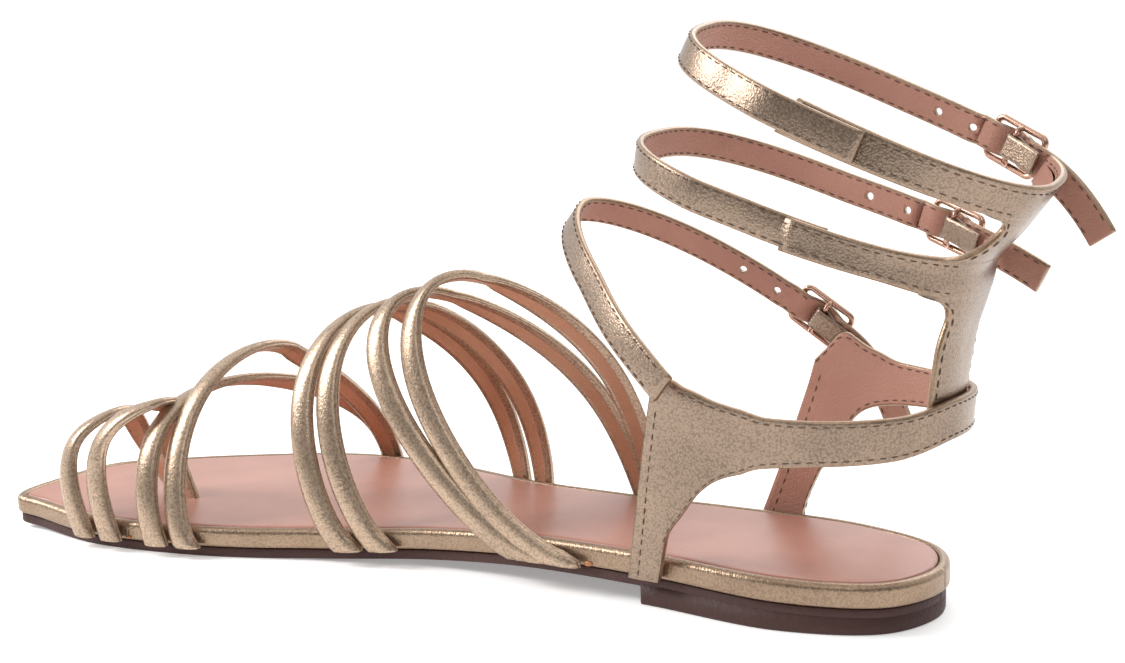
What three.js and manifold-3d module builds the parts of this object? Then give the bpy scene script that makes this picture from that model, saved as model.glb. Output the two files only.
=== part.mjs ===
// Gladiator sandal for the right foot: a thin flat sole, padded vamp straps in pairs,
// a heel band with two legs, a back spine and three buckled ankle straps.
// Millimetres. While modelling, X runs from the back of the heel to the toe, +Y is the inner
// (big toe) side and Z is up from the floor. The finished group is moved so that the middle
// of the heel tread is the origin.
import * as THREE from "three";
import { mergeVertices } from "three/addons/utils/BufferGeometryUtils.js";
import Module from "manifold-3d";

const wasm = await Module();
wasm.setup();

// Driving sizes
const LENGTH = 246; // sole, heel to toe
const BALL_WIDTH = 86; // sole at its widest
const HEEL_CENTRE = 28; // back of the heel to the middle of its tread
const HEEL_BREAST = 63; // back of the heel to the front face of the heel lift
const HEEL_LIFT = 4.2; // heel lift at its front face
const TOE_SPRING = 2.2; // rise of the outsole at the toe
const OUTSOLE_T = 2.5;
const OUTSOLE_INSET = 0.9; // outsole edge behind the footbed edge
const FOOTBED_HEEL_T = 5.2;
const FOOTBED_TOE_T = 4.6;
const FOOTBED_ROUND = 1.5; // rounding of the wrapped edge
const RIM = 2.4; // wrapped rim around the insole
const INSOLE_T = 1.1;
const INSTEP_RISE = 57; // highest vamp strap above the footbed
const VAMP_STRAP_W = 6.2;
const VAMP_STRAP_T = 2.5;
const ANKLE_HEIGHT = 108; // middle of the top ankle strap above the floor
const ANKLE_WIDTH = 62; // widest ankle strap
const ANKLE_STRAP_W = 7;
const ANKLE_STRAP_T = 1.6;
const LEATHER_T = 1.7; // wall of the heel band and the spine
const BUCKLE_L = 15;
const BUCKLE_WIRE = 1.5;
const TAB_W = 5;
const TAB_T = 0.8;
const TAB_L = 11; // straight tongue of the lowest buckle's tab
const PRONG_R = 0.7;
const GAP = 0.3; // between pieces that touch
const STRAP_EASE = 0.7; // further room between a strap and the sole's side
const BAND_EASE = 0.25; // the heel band's inside outside the surface of the last
const END_TRIM = 4; // strap ends are made this much longer, then trimmed
const SIDE_PLAY = 0.4; // strap to the side rails of its buckle

// How finely the curved pieces are drawn
const SOLE_STATIONS = 30;
const VAMP_STEPS = 24;
const RING_STEPS = 30;
const PANEL_ACROSS = 4; // cells across a panel
const ROW_CELLS = 2; // cells between two rows of its table

// Sole outline, heel back round the inner side to the toe and back round the outer side.
// at: share of LENGTH. out: share of BALL_WIDTH, inner side positive.
const OUTLINE = [
  { at: 0.0, out: 0.0 },
  { at: 0.026, out: 0.2 },
  { at: 0.114, out: 0.298 },
  { at: 0.244, out: 0.263 },
  { at: 0.366, out: 0.23 },
  { at: 0.488, out: 0.23 },
  { at: 0.61, out: 0.312 },
  { at: 0.732, out: 0.425 },
  { at: 0.854, out: 0.466 },
  { at: 0.953, out: 0.422 },
  { at: 0.985, out: 0.412 },
  { at: 0.996, out: 0.187 },
  { at: 0.988, out: -0.045 },
  { at: 0.943, out: -0.235 },
  { at: 0.862, out: -0.43 },
  { at: 0.752, out: -0.56 },
  { at: 0.63, out: -0.535 },
  { at: 0.488, out: -0.385 },
  { at: 0.366, out: -0.302 },
  { at: 0.244, out: -0.285 },
  { at: 0.114, out: -0.285 },
  { at: 0.026, out: -0.185 },
];

// Underside of the outsole above the floor. at: share of LENGTH. heel: share of HEEL_LIFT.
// toe: share of TOE_SPRING. The ball is flat on the floor between the two zero rows.
const SOLE_RISE = [
  { at: 0.0, heel: 0.72, toe: 0 },
  { at: 0.244, heel: 1.0, toe: 0 },
  { at: 0.366, heel: 0.9, toe: 0 },
  { at: 0.488, heel: 0.5, toe: 0 },
  { at: 0.61, heel: 0.1, toe: 0 },
  { at: 0.68, heel: 0, toe: 0 },
  { at: 0.86, heel: 0, toe: 0 },
  { at: 0.95, heel: 0, toe: 0.35 },
  { at: 1.0, heel: 0, toe: 1 },
];

// Vamp straps, toe to instep. Each runs over the foot from the inner side to the outer side.
// inner, outer: where its ends meet the sole, shares of LENGTH. lean, skew, third: how far it
// bows towards the toe in the middle, on the inner side and at both shoulders, shares of LENGTH.
// rise: share of INSTEP_RISE. ridge: how much higher the inner side stands than the outer.
// full, fullOut: roundness of the two sides, 2 for an ellipse. bulge, bulgeOut: how far the
// sides stand out over the sole, shares of BALL_WIDTH. slot: where a toe loop enters the insole.
const VAMP = [
  { name: "forefoot_straps", inner: 0.861, outer: 0.834, lean: 0.033, skew: -0.012, third: 0.016,
    rise: 0.431, ridge: -0.01, full: 2.3, fullOut: 2.2, bulge: 0.014, bulgeOut: 0, slot: 0.134 },
  { name: "forefoot_straps", inner: 0.825, outer: 0.819, lean: -0.006, skew: 0.004, third: 0.02,
    rise: 0.5, ridge: 0.09, full: 2.2, fullOut: 2.2, bulge: 0.012, bulgeOut: 0, slot: 0.155 },
  { name: "forefoot_straps", inner: 0.769, outer: 0.738, lean: 0.011, skew: 0.023, third: 0.005,
    rise: 0.521, ridge: 0.36, full: 1.9, fullOut: 2.0, bulge: 0.036, bulgeOut: 0.024 },
  { name: "forefoot_straps", inner: 0.733, outer: 0.734, lean: 0.012, skew: 0.032, third: 0.01,
    rise: 0.661, ridge: 0.42, full: 1.4, fullOut: 1.67, bulge: 0.016, bulgeOut: 0.02 },
  { name: "lower_instep_straps", inner: 0.569, outer: 0.527, lean: 0.056, skew: 0.058, third: 0.008,
    rise: 0.861, ridge: 0.28, full: 1.5, fullOut: 1.86, bulge: 0.034, bulgeOut: 0.012 },
  { name: "lower_instep_straps", inner: 0.533, outer: 0.493, lean: 0.061, skew: 0.075, third: 0.006,
    rise: 0.882, ridge: 0.3, full: 1.52, fullOut: 1.8, bulge: 0.031, bulgeOut: 0.021 },
  { name: "upper_instep_straps", inner: 0.363, outer: 0.348, lean: 0.176, skew: 0.136, third: 0.009,
    rise: 0.93, ridge: 0.31, full: 1.36, fullOut: 2.17, bulge: 0.047, bulgeOut: 0.014 },
  { name: "upper_instep_straps", inner: 0.329, outer: 0.339, lean: 0.157, skew: 0.146, third: 0.011,
    rise: 1.008, ridge: 0.26, full: 1.25, fullOut: 2.12, bulge: 0.068, bulgeOut: 0.022 },
];
const ANKLE_RADIAN = 0.565; // one radian round the ankle, share of ANKLE_WIDTH
const VAMP_FORWARD_TILT = { toe: 0.3, instep: 0.45 }; // how much a strap's top faces the toe
const INSTEP_FROM = 0.6; // straps whose inner end is behind this share face the toe more

// Sections of the last from the heel seat up the ankle, each a tilted rounded oval.
// up: height at the back, share of ANKLE_HEIGHT, which names the section's level. middle, back,
// front: place along the foot and half lengths, shares of LENGTH. side, half: offset and half
// width, shares of ANKLE_WIDTH. height: share of ANKLE_HEIGHT. gain, drop: how far its front
// rises and its back falls from there. roll: slope across. full: roundness. yaw: turn, radians.
const ANKLE = [
  { up: 0.074, middle: 0.142, back: 0.142, front: 0.366, side: -0.013, half: 0.403,
    height: 0.074, gain: 0, drop: 0, roll: 0, full: 2.2, yaw: 0 },
  { up: 0.398, middle: 0.142, back: 0.151, front: 0.305, side: -0.011, half: 0.465,
    height: 0.398, gain: 0, drop: 0, roll: 0, full: 2.2, yaw: 0 },
  { up: 0.556, middle: 0.142, back: 0.156, front: 0.244, side: -0.04, half: 0.492,
    height: 0.574, gain: 0.044, drop: 0.029, roll: 0, full: 2.4, yaw: 0.03 },
  { up: 0.697, middle: 0.139, back: 0.166, front: 0.15, side: -0.089, half: 0.511,
    height: 0.813, gain: 0.122, drop: 0.122, roll: -0.026, full: 2.6, yaw: 0.062 },
  { up: 0.77, middle: 0.112, back: 0.165, front: 0.155, side: -0.09, half: 0.489,
    height: 0.903, gain: 0.14, drop: 0.14, roll: -0.06, full: 2.6, yaw: 0.07 },
  { up: 0.843, middle: 0.082, back: 0.162, front: 0.16, side: -0.092, half: 0.463,
    height: 1.0, gain: 0.158, drop: 0.158, roll: -0.096, full: 2.6, yaw: 0.081 },
];
const MIDDLE_LEVEL = 0.697; // section that carries the middle ankle strap
const TOP_LEVEL = 0.843; // section that carries the top ankle strap

// The lowest ankle strap lies on a steeper oval of its own, over the instep.
const INSTEP_RING = {
  middle: 0.124, front: 0.243, back: 0.243, side: -0.003, half: 0.607, height: 0.367,
  gain: 0.448, drop: 0.448, roll: -0.07, bow: -0.053, full: 1.74, yaw: -0.052,
};

// Ankle straps. level: section, none for the instep oval. seam: degrees from the front where its
// end is stitched to the leather behind it, with lap the length of that overlap in millimetres
// and lapSide 1 outside or -1 inside. buckle: degrees from the front of its buckle, on the outer
// side. tail: length past the buckle. droop, swing: how far the tail's end hangs and stands out.
// tabEnd: degrees from the front of the end of the buckle's tab, where it follows the spine.
const ANKLE_STRAPS = [
  { name: "top", level: TOP_LEVEL, seam: 79, lap: 8, lapSide: 1, buckle: -125,
    tail: 29, droop: 8, swing: 2, tabEnd: -144 },
  { name: "middle", level: MIDDLE_LEVEL, seam: 90, lap: 6.6, lapSide: -1, buckle: -122.5,
    tail: 26, droop: 2, swing: 2, tabEnd: -144 },
  { name: "lowest", level: null, seam: 60, lap: 5.5, lapSide: 1, buckle: -72,
    tail: 30, droop: 10, swing: 2 },
];

// Heel band, unrolled, from the front of its inner leg round the heel to the front of its outer
// leg. lowAt, highAt: distance round from the middle of the back to the lower and upper edge,
// shares of ANKLE_WIDTH, inner side positive. low, high: levels of those edges.
const HEEL_BAND = [
  { lowAt: 1.052, low: 0.07, highAt: 1.032, high: 0.461 },
  { lowAt: 1.028, low: 0.069, highAt: 0.998, high: 0.509 },
  { lowAt: 1.006, low: 0.069, highAt: 0.974, high: 0.481 },
  { lowAt: 0.997, low: 0.158, highAt: 0.952, high: 0.467 },
  { lowAt: 0.969, low: 0.226, highAt: 0.926, high: 0.456 },
  { lowAt: 0.942, low: 0.279, highAt: 0.897, high: 0.447 },
  { lowAt: 0.905, low: 0.316, highAt: 0.861, high: 0.439 },
  { lowAt: 0.835, low: 0.341, highAt: 0.806, high: 0.432 },
  { lowAt: 0.677, low: 0.351, highAt: 0.677, high: 0.431 },
  { lowAt: 0.387, low: 0.36, highAt: 0.387, high: 0.436 },
  { lowAt: 0.076, low: 0.383, highAt: 0.076, high: 0.457 },
  { lowAt: -0.226, low: 0.382, highAt: -0.226, high: 0.454 },
  { lowAt: -0.532, low: 0.377, highAt: -0.532, high: 0.45 },
  { lowAt: -0.71, low: 0.37, highAt: -0.694, high: 0.453 },
  { lowAt: -0.81, low: 0.356, highAt: -0.782, high: 0.469 },
  { lowAt: -0.869, low: 0.321, highAt: -0.831, high: 0.48 },
  { lowAt: -0.91, low: 0.225, highAt: -0.865, high: 0.493 },
  { lowAt: -0.931, low: 0.139, highAt: -0.889, high: 0.502 },
  { lowAt: -0.943, low: 0.069, highAt: -0.913, high: 0.472 },
  { lowAt: -1.0, low: 0.07, highAt: -0.934, high: 0.445 },
];

// Back spine and its two branches, unrolled the same way. The stem's rows go up.
const STEM = [
  { at: 0.387, inner: 0.19, outer: -0.2 },
  { at: 0.46, inner: 0.2, outer: -0.205 },
  { at: 0.55, inner: 0.205, outer: -0.2 },
  { at: 0.61, inner: 0.2, outer: -0.2 },
  { at: 0.635, inner: 0.225, outer: -0.215 },
  { at: 0.65, inner: 0.28, outer: -0.25 },
  { at: 0.664, inner: 0.4, outer: -0.3 },
  { at: 0.719, inner: 0.4, outer: -0.29 },
  { at: 0.73, inner: 0.27, outer: -0.235 },
  { at: 0.75, inner: 0.215, outer: -0.21 },
  { at: 0.785, inner: 0.2, outer: -0.21 },
  { at: 0.803, inner: 0.25, outer: -0.24 },
  { at: 0.818, inner: 0.4, outer: -0.3 },
  { at: 0.85, inner: 0.4, outer: -0.3 },
];
const BRANCHES = [
  [
    { at: 0.85, low: 0.675, high: 0.719 },
    { at: 0.6, low: 0.674, high: 0.72 },
    { at: 0.34, low: 0.664, high: 0.723 },
    { at: 0.1, low: 0.658, high: 0.724 },
    { at: -0.1, low: 0.66, high: 0.722 },
    { at: -0.32, low: 0.67, high: 0.712 },
  ],
  [
    { at: 0.97, low: 0.821, high: 0.865 },
    { at: 0.8, low: 0.821, high: 0.865 },
    { at: 0.6, low: 0.82, high: 0.865 },
    { at: 0.38, low: 0.816, high: 0.864 },
    { at: 0.1, low: 0.81, high: 0.862 },
    { at: -0.1, low: 0.81, high: 0.862 },
    { at: -0.32, low: 0.819, high: 0.861 },
  ],
];

const FINISH = {
  outsole: { color: 0x3a211d, roughness: 0.75, metalness: 0 },
  footbed: { color: 0xc9b48a, roughness: 0.38, metalness: 0.75 },
  insole: { color: 0xc98f83, roughness: 0.5, metalness: 0 },
  strap: { color: 0xc4ab7c, roughness: 0.4, metalness: 0.75 },
  buckle: { color: 0xc98f6d, roughness: 0.25, metalness: 1 },
};

// Table helpers

// A smooth curve through one column of a table that never overshoots its rows.
function columnCurve(rows, key, column) {
  const x = rows.map((row) => row[key]);
  const y = rows.map((row) => row[column]);
  const step = x.slice(1).map((next, i) => (y[i + 1] - y[i]) / (next - x[i]));
  const slope = y.map((_, i) => {
    if (i === 0) return step[0];
    if (i === y.length - 1) return step[i - 1];
    if (step[i - 1] * step[i] <= 0) return 0;
    return (2 * step[i - 1] * step[i]) / (step[i - 1] + step[i]);
  });
  return (at) => {
    if (at <= x[0]) return y[0] + slope[0] * (at - x[0]);
    const last = x.length - 1;
    if (at >= x[last]) return y[last] + slope[last] * (at - x[last]);
    const i = x.findIndex((value, k) => k < last && at >= value && at < x[k + 1]);
    const span = x[i + 1] - x[i];
    const t = (at - x[i]) / span;
    const ease = t * t * (3 - 2 * t);
    const leave = t * (1 - t) * (1 - t) * span * slope[i];
    const arrive = t * t * (t - 1) * span * slope[i + 1];
    return y[i] * (1 - ease) + y[i + 1] * ease + leave + arrive;
  };
}

// A number raised to a power with its sign kept.
function signedPower(value, power) {
  return Math.sign(value) * Math.abs(value) ** power;
}

// Solid helpers

// One closed body from points and triangles, facing out. Equal points are merged and empty
// faces dropped.
function closedBody(points, triangles) {
  const ids = new Map();
  const kept = [];
  const idOf = points.map((point) => {
    const key = [point.x, point.y, point.z].map((value) => Math.round(value * 1e4)).join();
    if (!ids.has(key)) {
      ids.set(key, kept.length);
      kept.push(point);
    }
    return ids.get(key);
  });
  const faces = triangles
    .map((face) => face.map((i) => idOf[i]))
    .filter(([a, b, c]) => a !== b && b !== c && c !== a);
  const volume = faces.reduce(
    (sum, [a, b, c]) => sum + kept[a].dot(new THREE.Vector3().crossVectors(kept[b], kept[c])),
    0,
  );
  const geometry = new THREE.BufferGeometry().setFromPoints(kept);
  geometry.setIndex(volume < 0 ? faces.map((face) => face.reverse()).flat() : faces.flat());
  return geometry;
}

// A geometry as a solid for cutting and joining.
function solid(geometry) {
  const bare = new THREE.BufferGeometry();
  bare.setAttribute("position", geometry.getAttribute("position").clone());
  if (geometry.index) bare.setIndex(geometry.index.clone());
  const merged = mergeVertices(bare, 1e-4);
  const body = new wasm.Manifold(
    new wasm.Mesh({
      numProp: 3,
      vertProperties: new Float32Array(merged.getAttribute("position").array),
      triVerts: new Uint32Array(merged.index.array),
    }),
  );
  return body;
}

// A solid back as a geometry.
function shapeOf(body) {
  const mesh = body.getMesh();
  const geometry = new THREE.BufferGeometry();
  geometry.setAttribute("position", new THREE.BufferAttribute(new Float32Array(mesh.vertProperties), 3));
  geometry.setIndex(new THREE.BufferAttribute(new Uint32Array(mesh.triVerts), 1));
  return geometry;
}

// A band through rings of equal length. Each ring goes out along one side and back along the
// other, so its two ends are closed by strips between the sides.
function loft(rings) {
  const size = rings[0].length;
  const faces = [];
  for (let r = 0; r + 1 < rings.length; r += 1) {
    for (let i = 0; i < size; i += 1) {
      const a = r * size + i;
      const b = r * size + ((i + 1) % size);
      faces.push([a, b, b + size], [a, b + size, a + size]);
    }
  }
  const end = (rings.length - 1) * size;
  for (let i = 0; i + 1 < size / 2; i += 1) {
    const [a, b, c, d] = [i, i + 1, size - 2 - i, size - 1 - i];
    faces.push([b, a, c], [c, a, d], [end + a, end + b, end + c], [end + a, end + c, end + d]);
  }
  return closedBody(rings.flat(), faces);
}

// A section, a list of [across, out], carried along frames of point, across and out.
function sweep(frames, section) {
  return loft(
    frames.map(({ point, across, out }) =>
      section.map(([a, o]) => point.clone().addScaledVector(across, a).addScaledVector(out, o)),
    ),
  );
}

// Sole

const outline = new THREE.CatmullRomCurve3(
  OUTLINE.map((row) => new THREE.Vector3(row.at * LENGTH, row.out * BALL_WIDTH, 0)),
  true,
  "centripetal",
);
const outlinePoints = outline.getPoints(LENGTH).slice(0, -1);

// The outline moved in by an inset, as its inner and outer sides from heel to toe.
function outlineSides(inset) {
  const count = outlinePoints.length;
  const moved = outlinePoints.map((point, i) => {
    const before = outlinePoints[(i + count - 1) % count];
    const after = outlinePoints[(i + 1) % count];
    const along = new THREE.Vector3().subVectors(after, before).normalize();
    return new THREE.Vector3(point.x + along.y * inset, point.y - along.x * inset, 0);
  });
  const xs = moved.map((point) => point.x);
  const heel = xs.indexOf(Math.min(...xs));
  const toe = xs.indexOf(Math.max(...xs));
  const walk = (from, to, step) => {
    const side = [];
    for (let i = from; i !== to; i = (i + step + count) % count) side.push(moved[i]);
    side.push(moved[to]);
    return side;
  };
  return { inner: walk(heel, toe, 1), outer: walk(heel, toe, -1) };
}

// Y of one side at X.
function sideY(side, x) {
  const i = side.findIndex((point, k) => k + 1 < side.length && side[k + 1].x >= x);
  if (i < 0) return side[side.length - 1].y;
  const [a, b] = [side[i], side[i + 1]];
  const t = b.x === a.x ? 0 : THREE.MathUtils.clamp((x - a.x) / (b.x - a.x), 0, 1);
  return a.y + (b.y - a.y) * t;
}

const edge = outlineSides(0);
const heelRise = columnCurve(SOLE_RISE, "at", "heel");
const toeRise = columnCurve(SOLE_RISE, "at", "toe");

// Heights at X: underside of the outsole, underside of the footbed, top of its rim.
function soleRise(x) {
  const at = THREE.MathUtils.clamp(x / LENGTH, 0, 1);
  return HEEL_LIFT * heelRise(at) + TOE_SPRING * toeRise(at);
}
function footbedBase(x) {
  return soleRise(x) + OUTSOLE_T + GAP;
}
function footbedTop(x) {
  return footbedBase(x) + THREE.MathUtils.mapLinear(x, 0, LENGTH, FOOTBED_HEEL_T, FOOTBED_TOE_T);
}

// A plate of the sole's outline: one ring for each level, an inset and a height at each X.
// With a front, it ends there in a straight face.
function solePlate(levels, front) {
  const rings = levels.map(({ inset, z }) => {
    const { inner, outer } = outlineSides(inset);
    const low = inner[0].x;
    const high = front ?? inner[inner.length - 1].x;
    const ring = [];
    for (let k = 0; k <= SOLE_STATIONS; k += 1) {
      const turn = (Math.PI * k) / SOLE_STATIONS;
      const share = front ? 1 - Math.cos(turn / 2) : (1 - Math.cos(turn)) / 2;
      const x = low + (high - low) * share;
      const innerY = k === 0 ? inner[0].y : sideY(inner, x);
      const outerY = k === 0 ? inner[0].y : sideY(outer, x);
      ring.push({ x, inner: innerY, outer: outerY });
    }
    if (!front) ring[SOLE_STATIONS].outer = ring[SOLE_STATIONS].inner;
    return [
      ...ring.map((row) => new THREE.Vector3(row.x, row.inner, z(row.x))),
      ...ring.map((row) => new THREE.Vector3(row.x, row.outer, z(row.x))).reverse(),
    ];
  });
  return loft(rings);
}

function makeHeelLift() {
  return solePlate(
    [
      { inset: OUTSOLE_INSET + 0.6, z: () => 0 },
      { inset: OUTSOLE_INSET, z: () => 0.6 },
      { inset: OUTSOLE_INSET, z: (x) => soleRise(x) - GAP },
    ],
    HEEL_BREAST,
  );
}

function makeOutsole() {
  return solePlate([
    { inset: OUTSOLE_INSET + 0.5, z: soleRise },
    { inset: OUTSOLE_INSET, z: (x) => soleRise(x) + 0.5 },
    { inset: OUTSOLE_INSET, z: (x) => soleRise(x) + OUTSOLE_T - 0.4 },
    { inset: OUTSOLE_INSET + 0.4, z: (x) => soleRise(x) + OUTSOLE_T },
  ]);
}

function makeFootbed() {
  const recess = INSOLE_T + GAP;
  return solePlate([
    { inset: FOOTBED_ROUND * 0.4, z: footbedBase },
    { inset: 0, z: (x) => footbedBase(x) + FOOTBED_ROUND * 0.5 },
    { inset: 0, z: (x) => footbedTop(x) - FOOTBED_ROUND },
    { inset: FOOTBED_ROUND * 0.35, z: (x) => footbedTop(x) - FOOTBED_ROUND * 0.3 },
    { inset: FOOTBED_ROUND, z: footbedTop },
    { inset: RIM, z: (x) => footbedTop(x) - FOOTBED_ROUND * 0.1 },
    { inset: RIM + 0.1, z: (x) => footbedTop(x) - recess },
  ]);
}

// The insole has a slot between the first two toes, where the toe loop goes through it.
function makeInsole() {
  const bottom = (x) => footbedTop(x) - INSOLE_T;
  const plate = solePlate([
    { inset: RIM + 0.1 + GAP, z: bottom },
    { inset: RIM + 0.1 + GAP, z: (x) => bottom(x) + INSOLE_T * 0.7 },
    { inset: RIM + 0.5 + GAP, z: (x) => bottom(x) + INSOLE_T },
  ]);
  const loops = VAMP.filter((row) => row.slot !== undefined);
  const ends = loops.map((row) => new THREE.Vector2(row.outer * LENGTH, row.slot * BALL_WIDTH));
  const halfWide = VAMP_STRAP_T / 2 + GAP;
  const rear = Math.min(...ends.map((end) => end.x)) - VAMP_STRAP_W / 2 - 2 * GAP;
  const fore = Math.max(...ends.map((end) => end.x)) + VAMP_STRAP_W / 2 + 2 * halfWide;
  const low = Math.min(...ends.map((end) => end.y)) - halfWide - GAP;
  const high = Math.max(...ends.map((end) => end.y)) + halfWide + GAP;
  const cutter = new THREE.BoxGeometry(fore - rear, high - low, 8 * INSOLE_T);
  cutter.translate((rear + fore) / 2, (low + high) / 2, bottom((rear + fore) / 2));
  return shapeOf(solid(plate).subtract(solid(cutter)));
}

// Vamp straps

// Point of a strap's middle line at an angle from 0, the inner end, to pi, the outer end. The
// ends over the sole's edge go past the footbed's underside and are trimmed there.
function vampPoint(row, turn) {
  const [cos, sin] = [Math.cos(turn), Math.sin(turn)];
  const along = row.inner + ((row.outer - row.inner) * (1 - cos)) / 2 + row.lean * sin
    + row.skew * sin * cos + row.third * Math.sin(3 * turn);
  const x = along * LENGTH;
  const full = row.full + ((row.fullOut - row.full) * (1 - cos)) / 2;
  const side = signedPower(cos, 2 / full);
  const lift = Math.abs(sin) ** (2 / full);
  const clear = GAP + STRAP_EASE + VAMP_STRAP_T / 2;
  const inSlot = row.slot !== undefined && cos < 0;
  const inner = sideY(edge.inner, x) + clear + row.bulge * BALL_WIDTH * lift;
  const outer = row.slot === undefined
    ? sideY(edge.outer, x) - clear - row.bulgeOut * BALL_WIDTH * lift
    : row.slot * BALL_WIDTH;
  const y = (inner + outer) / 2 + ((inner - outer) / 2) * side;
  const wrap = footbedTop(x) - footbedBase(x);
  const drop = Math.abs(side) ** 8 * (inSlot ? INSOLE_T : wrap);
  const height = lift * (1 + row.ridge * cos);
  const point = new THREE.Vector3(x, y, footbedTop(x) - drop + row.rise * INSTEP_RISE * height);
  return { point, side, height };
}

// Outward direction of the sole's edge at X on one side.
function edgeNormal(x, inner) {
  const side = inner ? edge.inner : edge.outer;
  const facing = inner ? 1 : -1;
  const reach = VAMP_STRAP_W / 2;
  const slope = (sideY(side, x + reach) - sideY(side, x - reach)) / (2 * reach);
  return new THREE.Vector3(-slope * facing, facing, 0).normalize();
}

function vampFrames(row) {
  const frames = [];
  const step = Math.PI / VAMP_STEPS;
  const tilt = row.inner > INSTEP_FROM ? VAMP_FORWARD_TILT.toe : VAMP_FORWARD_TILT.instep;
  for (let k = 0; k <= VAMP_STEPS; k += 1) {
    const turn = k * step;
    const { point, side, height } = vampPoint(row, turn);
    const before = vampPoint(row, Math.max(turn - step / 2, 0)).point;
    const after = vampPoint(row, Math.min(turn + step / 2, Math.PI)).point;
    const along = after.sub(before).normalize();
    const inSlot = row.slot !== undefined && turn > Math.PI / 2;
    const out = inSlot ? new THREE.Vector3(0, -1, 0) : edgeNormal(point.x, turn < Math.PI / 2);
    out.multiplyScalar(Math.abs(side)).add(new THREE.Vector3(tilt * Math.sin(turn), 0, height));
    out.addScaledVector(along, -out.dot(along)).normalize();
    const across = new THREE.Vector3().crossVectors(out, along).normalize();
    frames.push({ point, across, out });
  }
  const [first, last] = [frames[0], frames[VAMP_STEPS]];
  first.point.z -= END_TRIM;
  last.point.z -= END_TRIM;
  return frames;
}

// Flat inside, rounded outside, as a strap wound over cord.
function paddedSection(width, thick) {
  const [w, t] = [width / 2, thick / 2];
  return [
    [-w * 0.92, -t],
    [w * 0.92, -t],
    [w, -t * 0.3],
    [w * 0.8, t * 0.55],
    [w * 0.32, t],
    [-w * 0.32, t],
    [-w * 0.8, t * 0.55],
    [-w, -t * 0.3],
  ];
}

// Straps that share a name are one piece, joined where they meet. Their ends stop above the
// outsole, and those of the toe loop in the slot stop above the recess.
function makeVampStraps() {
  const section = paddedSection(VAMP_STRAP_W, VAMP_STRAP_T);
  const far = 10 * END_TRIM;
  const under = solid(
    solePlate([
      { inset: -2 * END_TRIM, z: (x) => footbedBase(x) - far },
      { inset: -2 * END_TRIM, z: footbedBase },
    ]),
  );
  const recess = solid(
    solePlate([
      { inset: 2 * RIM, z: (x) => footbedBase(x) - far },
      { inset: 2 * RIM, z: (x) => footbedTop(x) - INSOLE_T },
    ]),
  );
  const trim = under.add(recess);
  const pieces = new Map();
  VAMP.forEach((row) => {
    const strap = solid(sweep(vampFrames(row), section)).subtract(trim);
    const joined = pieces.get(row.name);
    pieces.set(row.name, joined ? joined.add(strap) : strap);
  });
  return [...pieces].map(([name, body]) => [name, shapeOf(body)]);
}

// Ankle

const ankleKeys = Object.keys(ANKLE[0]).filter((key) => key !== "up");
const ankleColumns = Object.fromEntries(ankleKeys.map((key) => [key, columnCurve(ANKLE, "up", key)]));

// Section of the last at a level.
function ankleSection(level) {
  return Object.fromEntries(ankleKeys.map((key) => [key, ankleColumns[key](level)]));
}

// Point of a section at a turn from the front, inner side positive, in radians.
function ovalPoint(section, turn) {
  const share = signedPower(Math.cos(turn), 2 / section.full);
  const along = (share > 0 ? section.front : section.back) * LENGTH * share;
  const across = section.half * ANKLE_WIDTH * signedPower(Math.sin(turn), 2 / section.full);
  const climb = (share > 0 ? section.gain : section.drop) * share;
  const bow = (section.bow ?? 0) * (share * share - 0.5);
  const [cos, sin] = [Math.cos(section.yaw), Math.sin(section.yaw)];
  return new THREE.Vector3(
    section.middle * LENGTH + along * cos - across * sin,
    section.side * ANKLE_WIDTH + along * sin + across * cos,
    (section.height + climb + bow) * ANKLE_HEIGHT + section.roll * across,
  );
}

// A frame on a surface: along goes round towards the tail of a strap, across goes up.
function surfaceFrame(at, turn, level) {
  const small = 0.01;
  const point = at(turn, level);
  const along = at(turn - small, level).sub(at(turn + small, level)).normalize();
  const across = at(turn, level + small).sub(at(turn, level - small));
  across.addScaledVector(along, -across.dot(along)).normalize();
  const out = new THREE.Vector3().crossVectors(across, along);
  return { point, along, across, out };
}

function ankleFrame(turn, level) {
  return surfaceFrame((t, l) => ovalPoint(ankleSection(l), t), turn, level);
}

// The lowest strap's own oval, level with the strap's middle; across stays square to its plane.
function instepFrame(turn) {
  const slope = (INSTEP_RING.gain * ANKLE_HEIGHT) / (INSTEP_RING.front * LENGTH);
  const square = new THREE.Vector3(-slope, -INSTEP_RING.roll, 1).multiplyScalar(ANKLE_HEIGHT);
  const at = (t, l) => ovalPoint(INSTEP_RING, t).addScaledVector(square, l);
  return surfaceFrame(at, turn, 0);
}

function strapFrame(row, degrees) {
  const turn = THREE.MathUtils.degToRad(degrees);
  return row.level === null ? instepFrame(turn) : ankleFrame(turn, row.level);
}

// A panel on the ankle surface between two distances out, from rows that each hold the lower
// and upper corner as [share of ANKLE_WIDTH round from the back, level].
function anklePanel(rows, near, far) {
  const corner = ([at, level], distance) => {
    const { point, out } = ankleFrame(Math.PI - at / ANKLE_RADIAN, level);
    return point.addScaledVector(out, distance);
  };
  const rings = rows.map(([low, high]) => {
    const cells = [...Array(PANEL_ACROSS + 1).keys()].map((k) =>
      low.map((value, i) => value + ((high[i] - value) * k) / PANEL_ACROSS),
    );
    return [
      ...cells.map((cell) => corner(cell, near)),
      ...cells.map((cell) => corner(cell, far)).reverse(),
    ];
  });
  return loft(rings);
}

// The rows of a table with further rows between them.
function refined(table) {
  const keys = Object.keys(table[0]);
  const counted = table.map((row, i) => ({ ...row, i }));
  const curves = keys.map((key) => columnCurve(counted, "i", key));
  const rows = [];
  for (let k = 0; k <= (table.length - 1) * ROW_CELLS; k += 1) {
    rows.push(Object.fromEntries(keys.map((key, c) => [key, curves[c](k / ROW_CELLS)])));
  }
  return rows;
}

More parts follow.
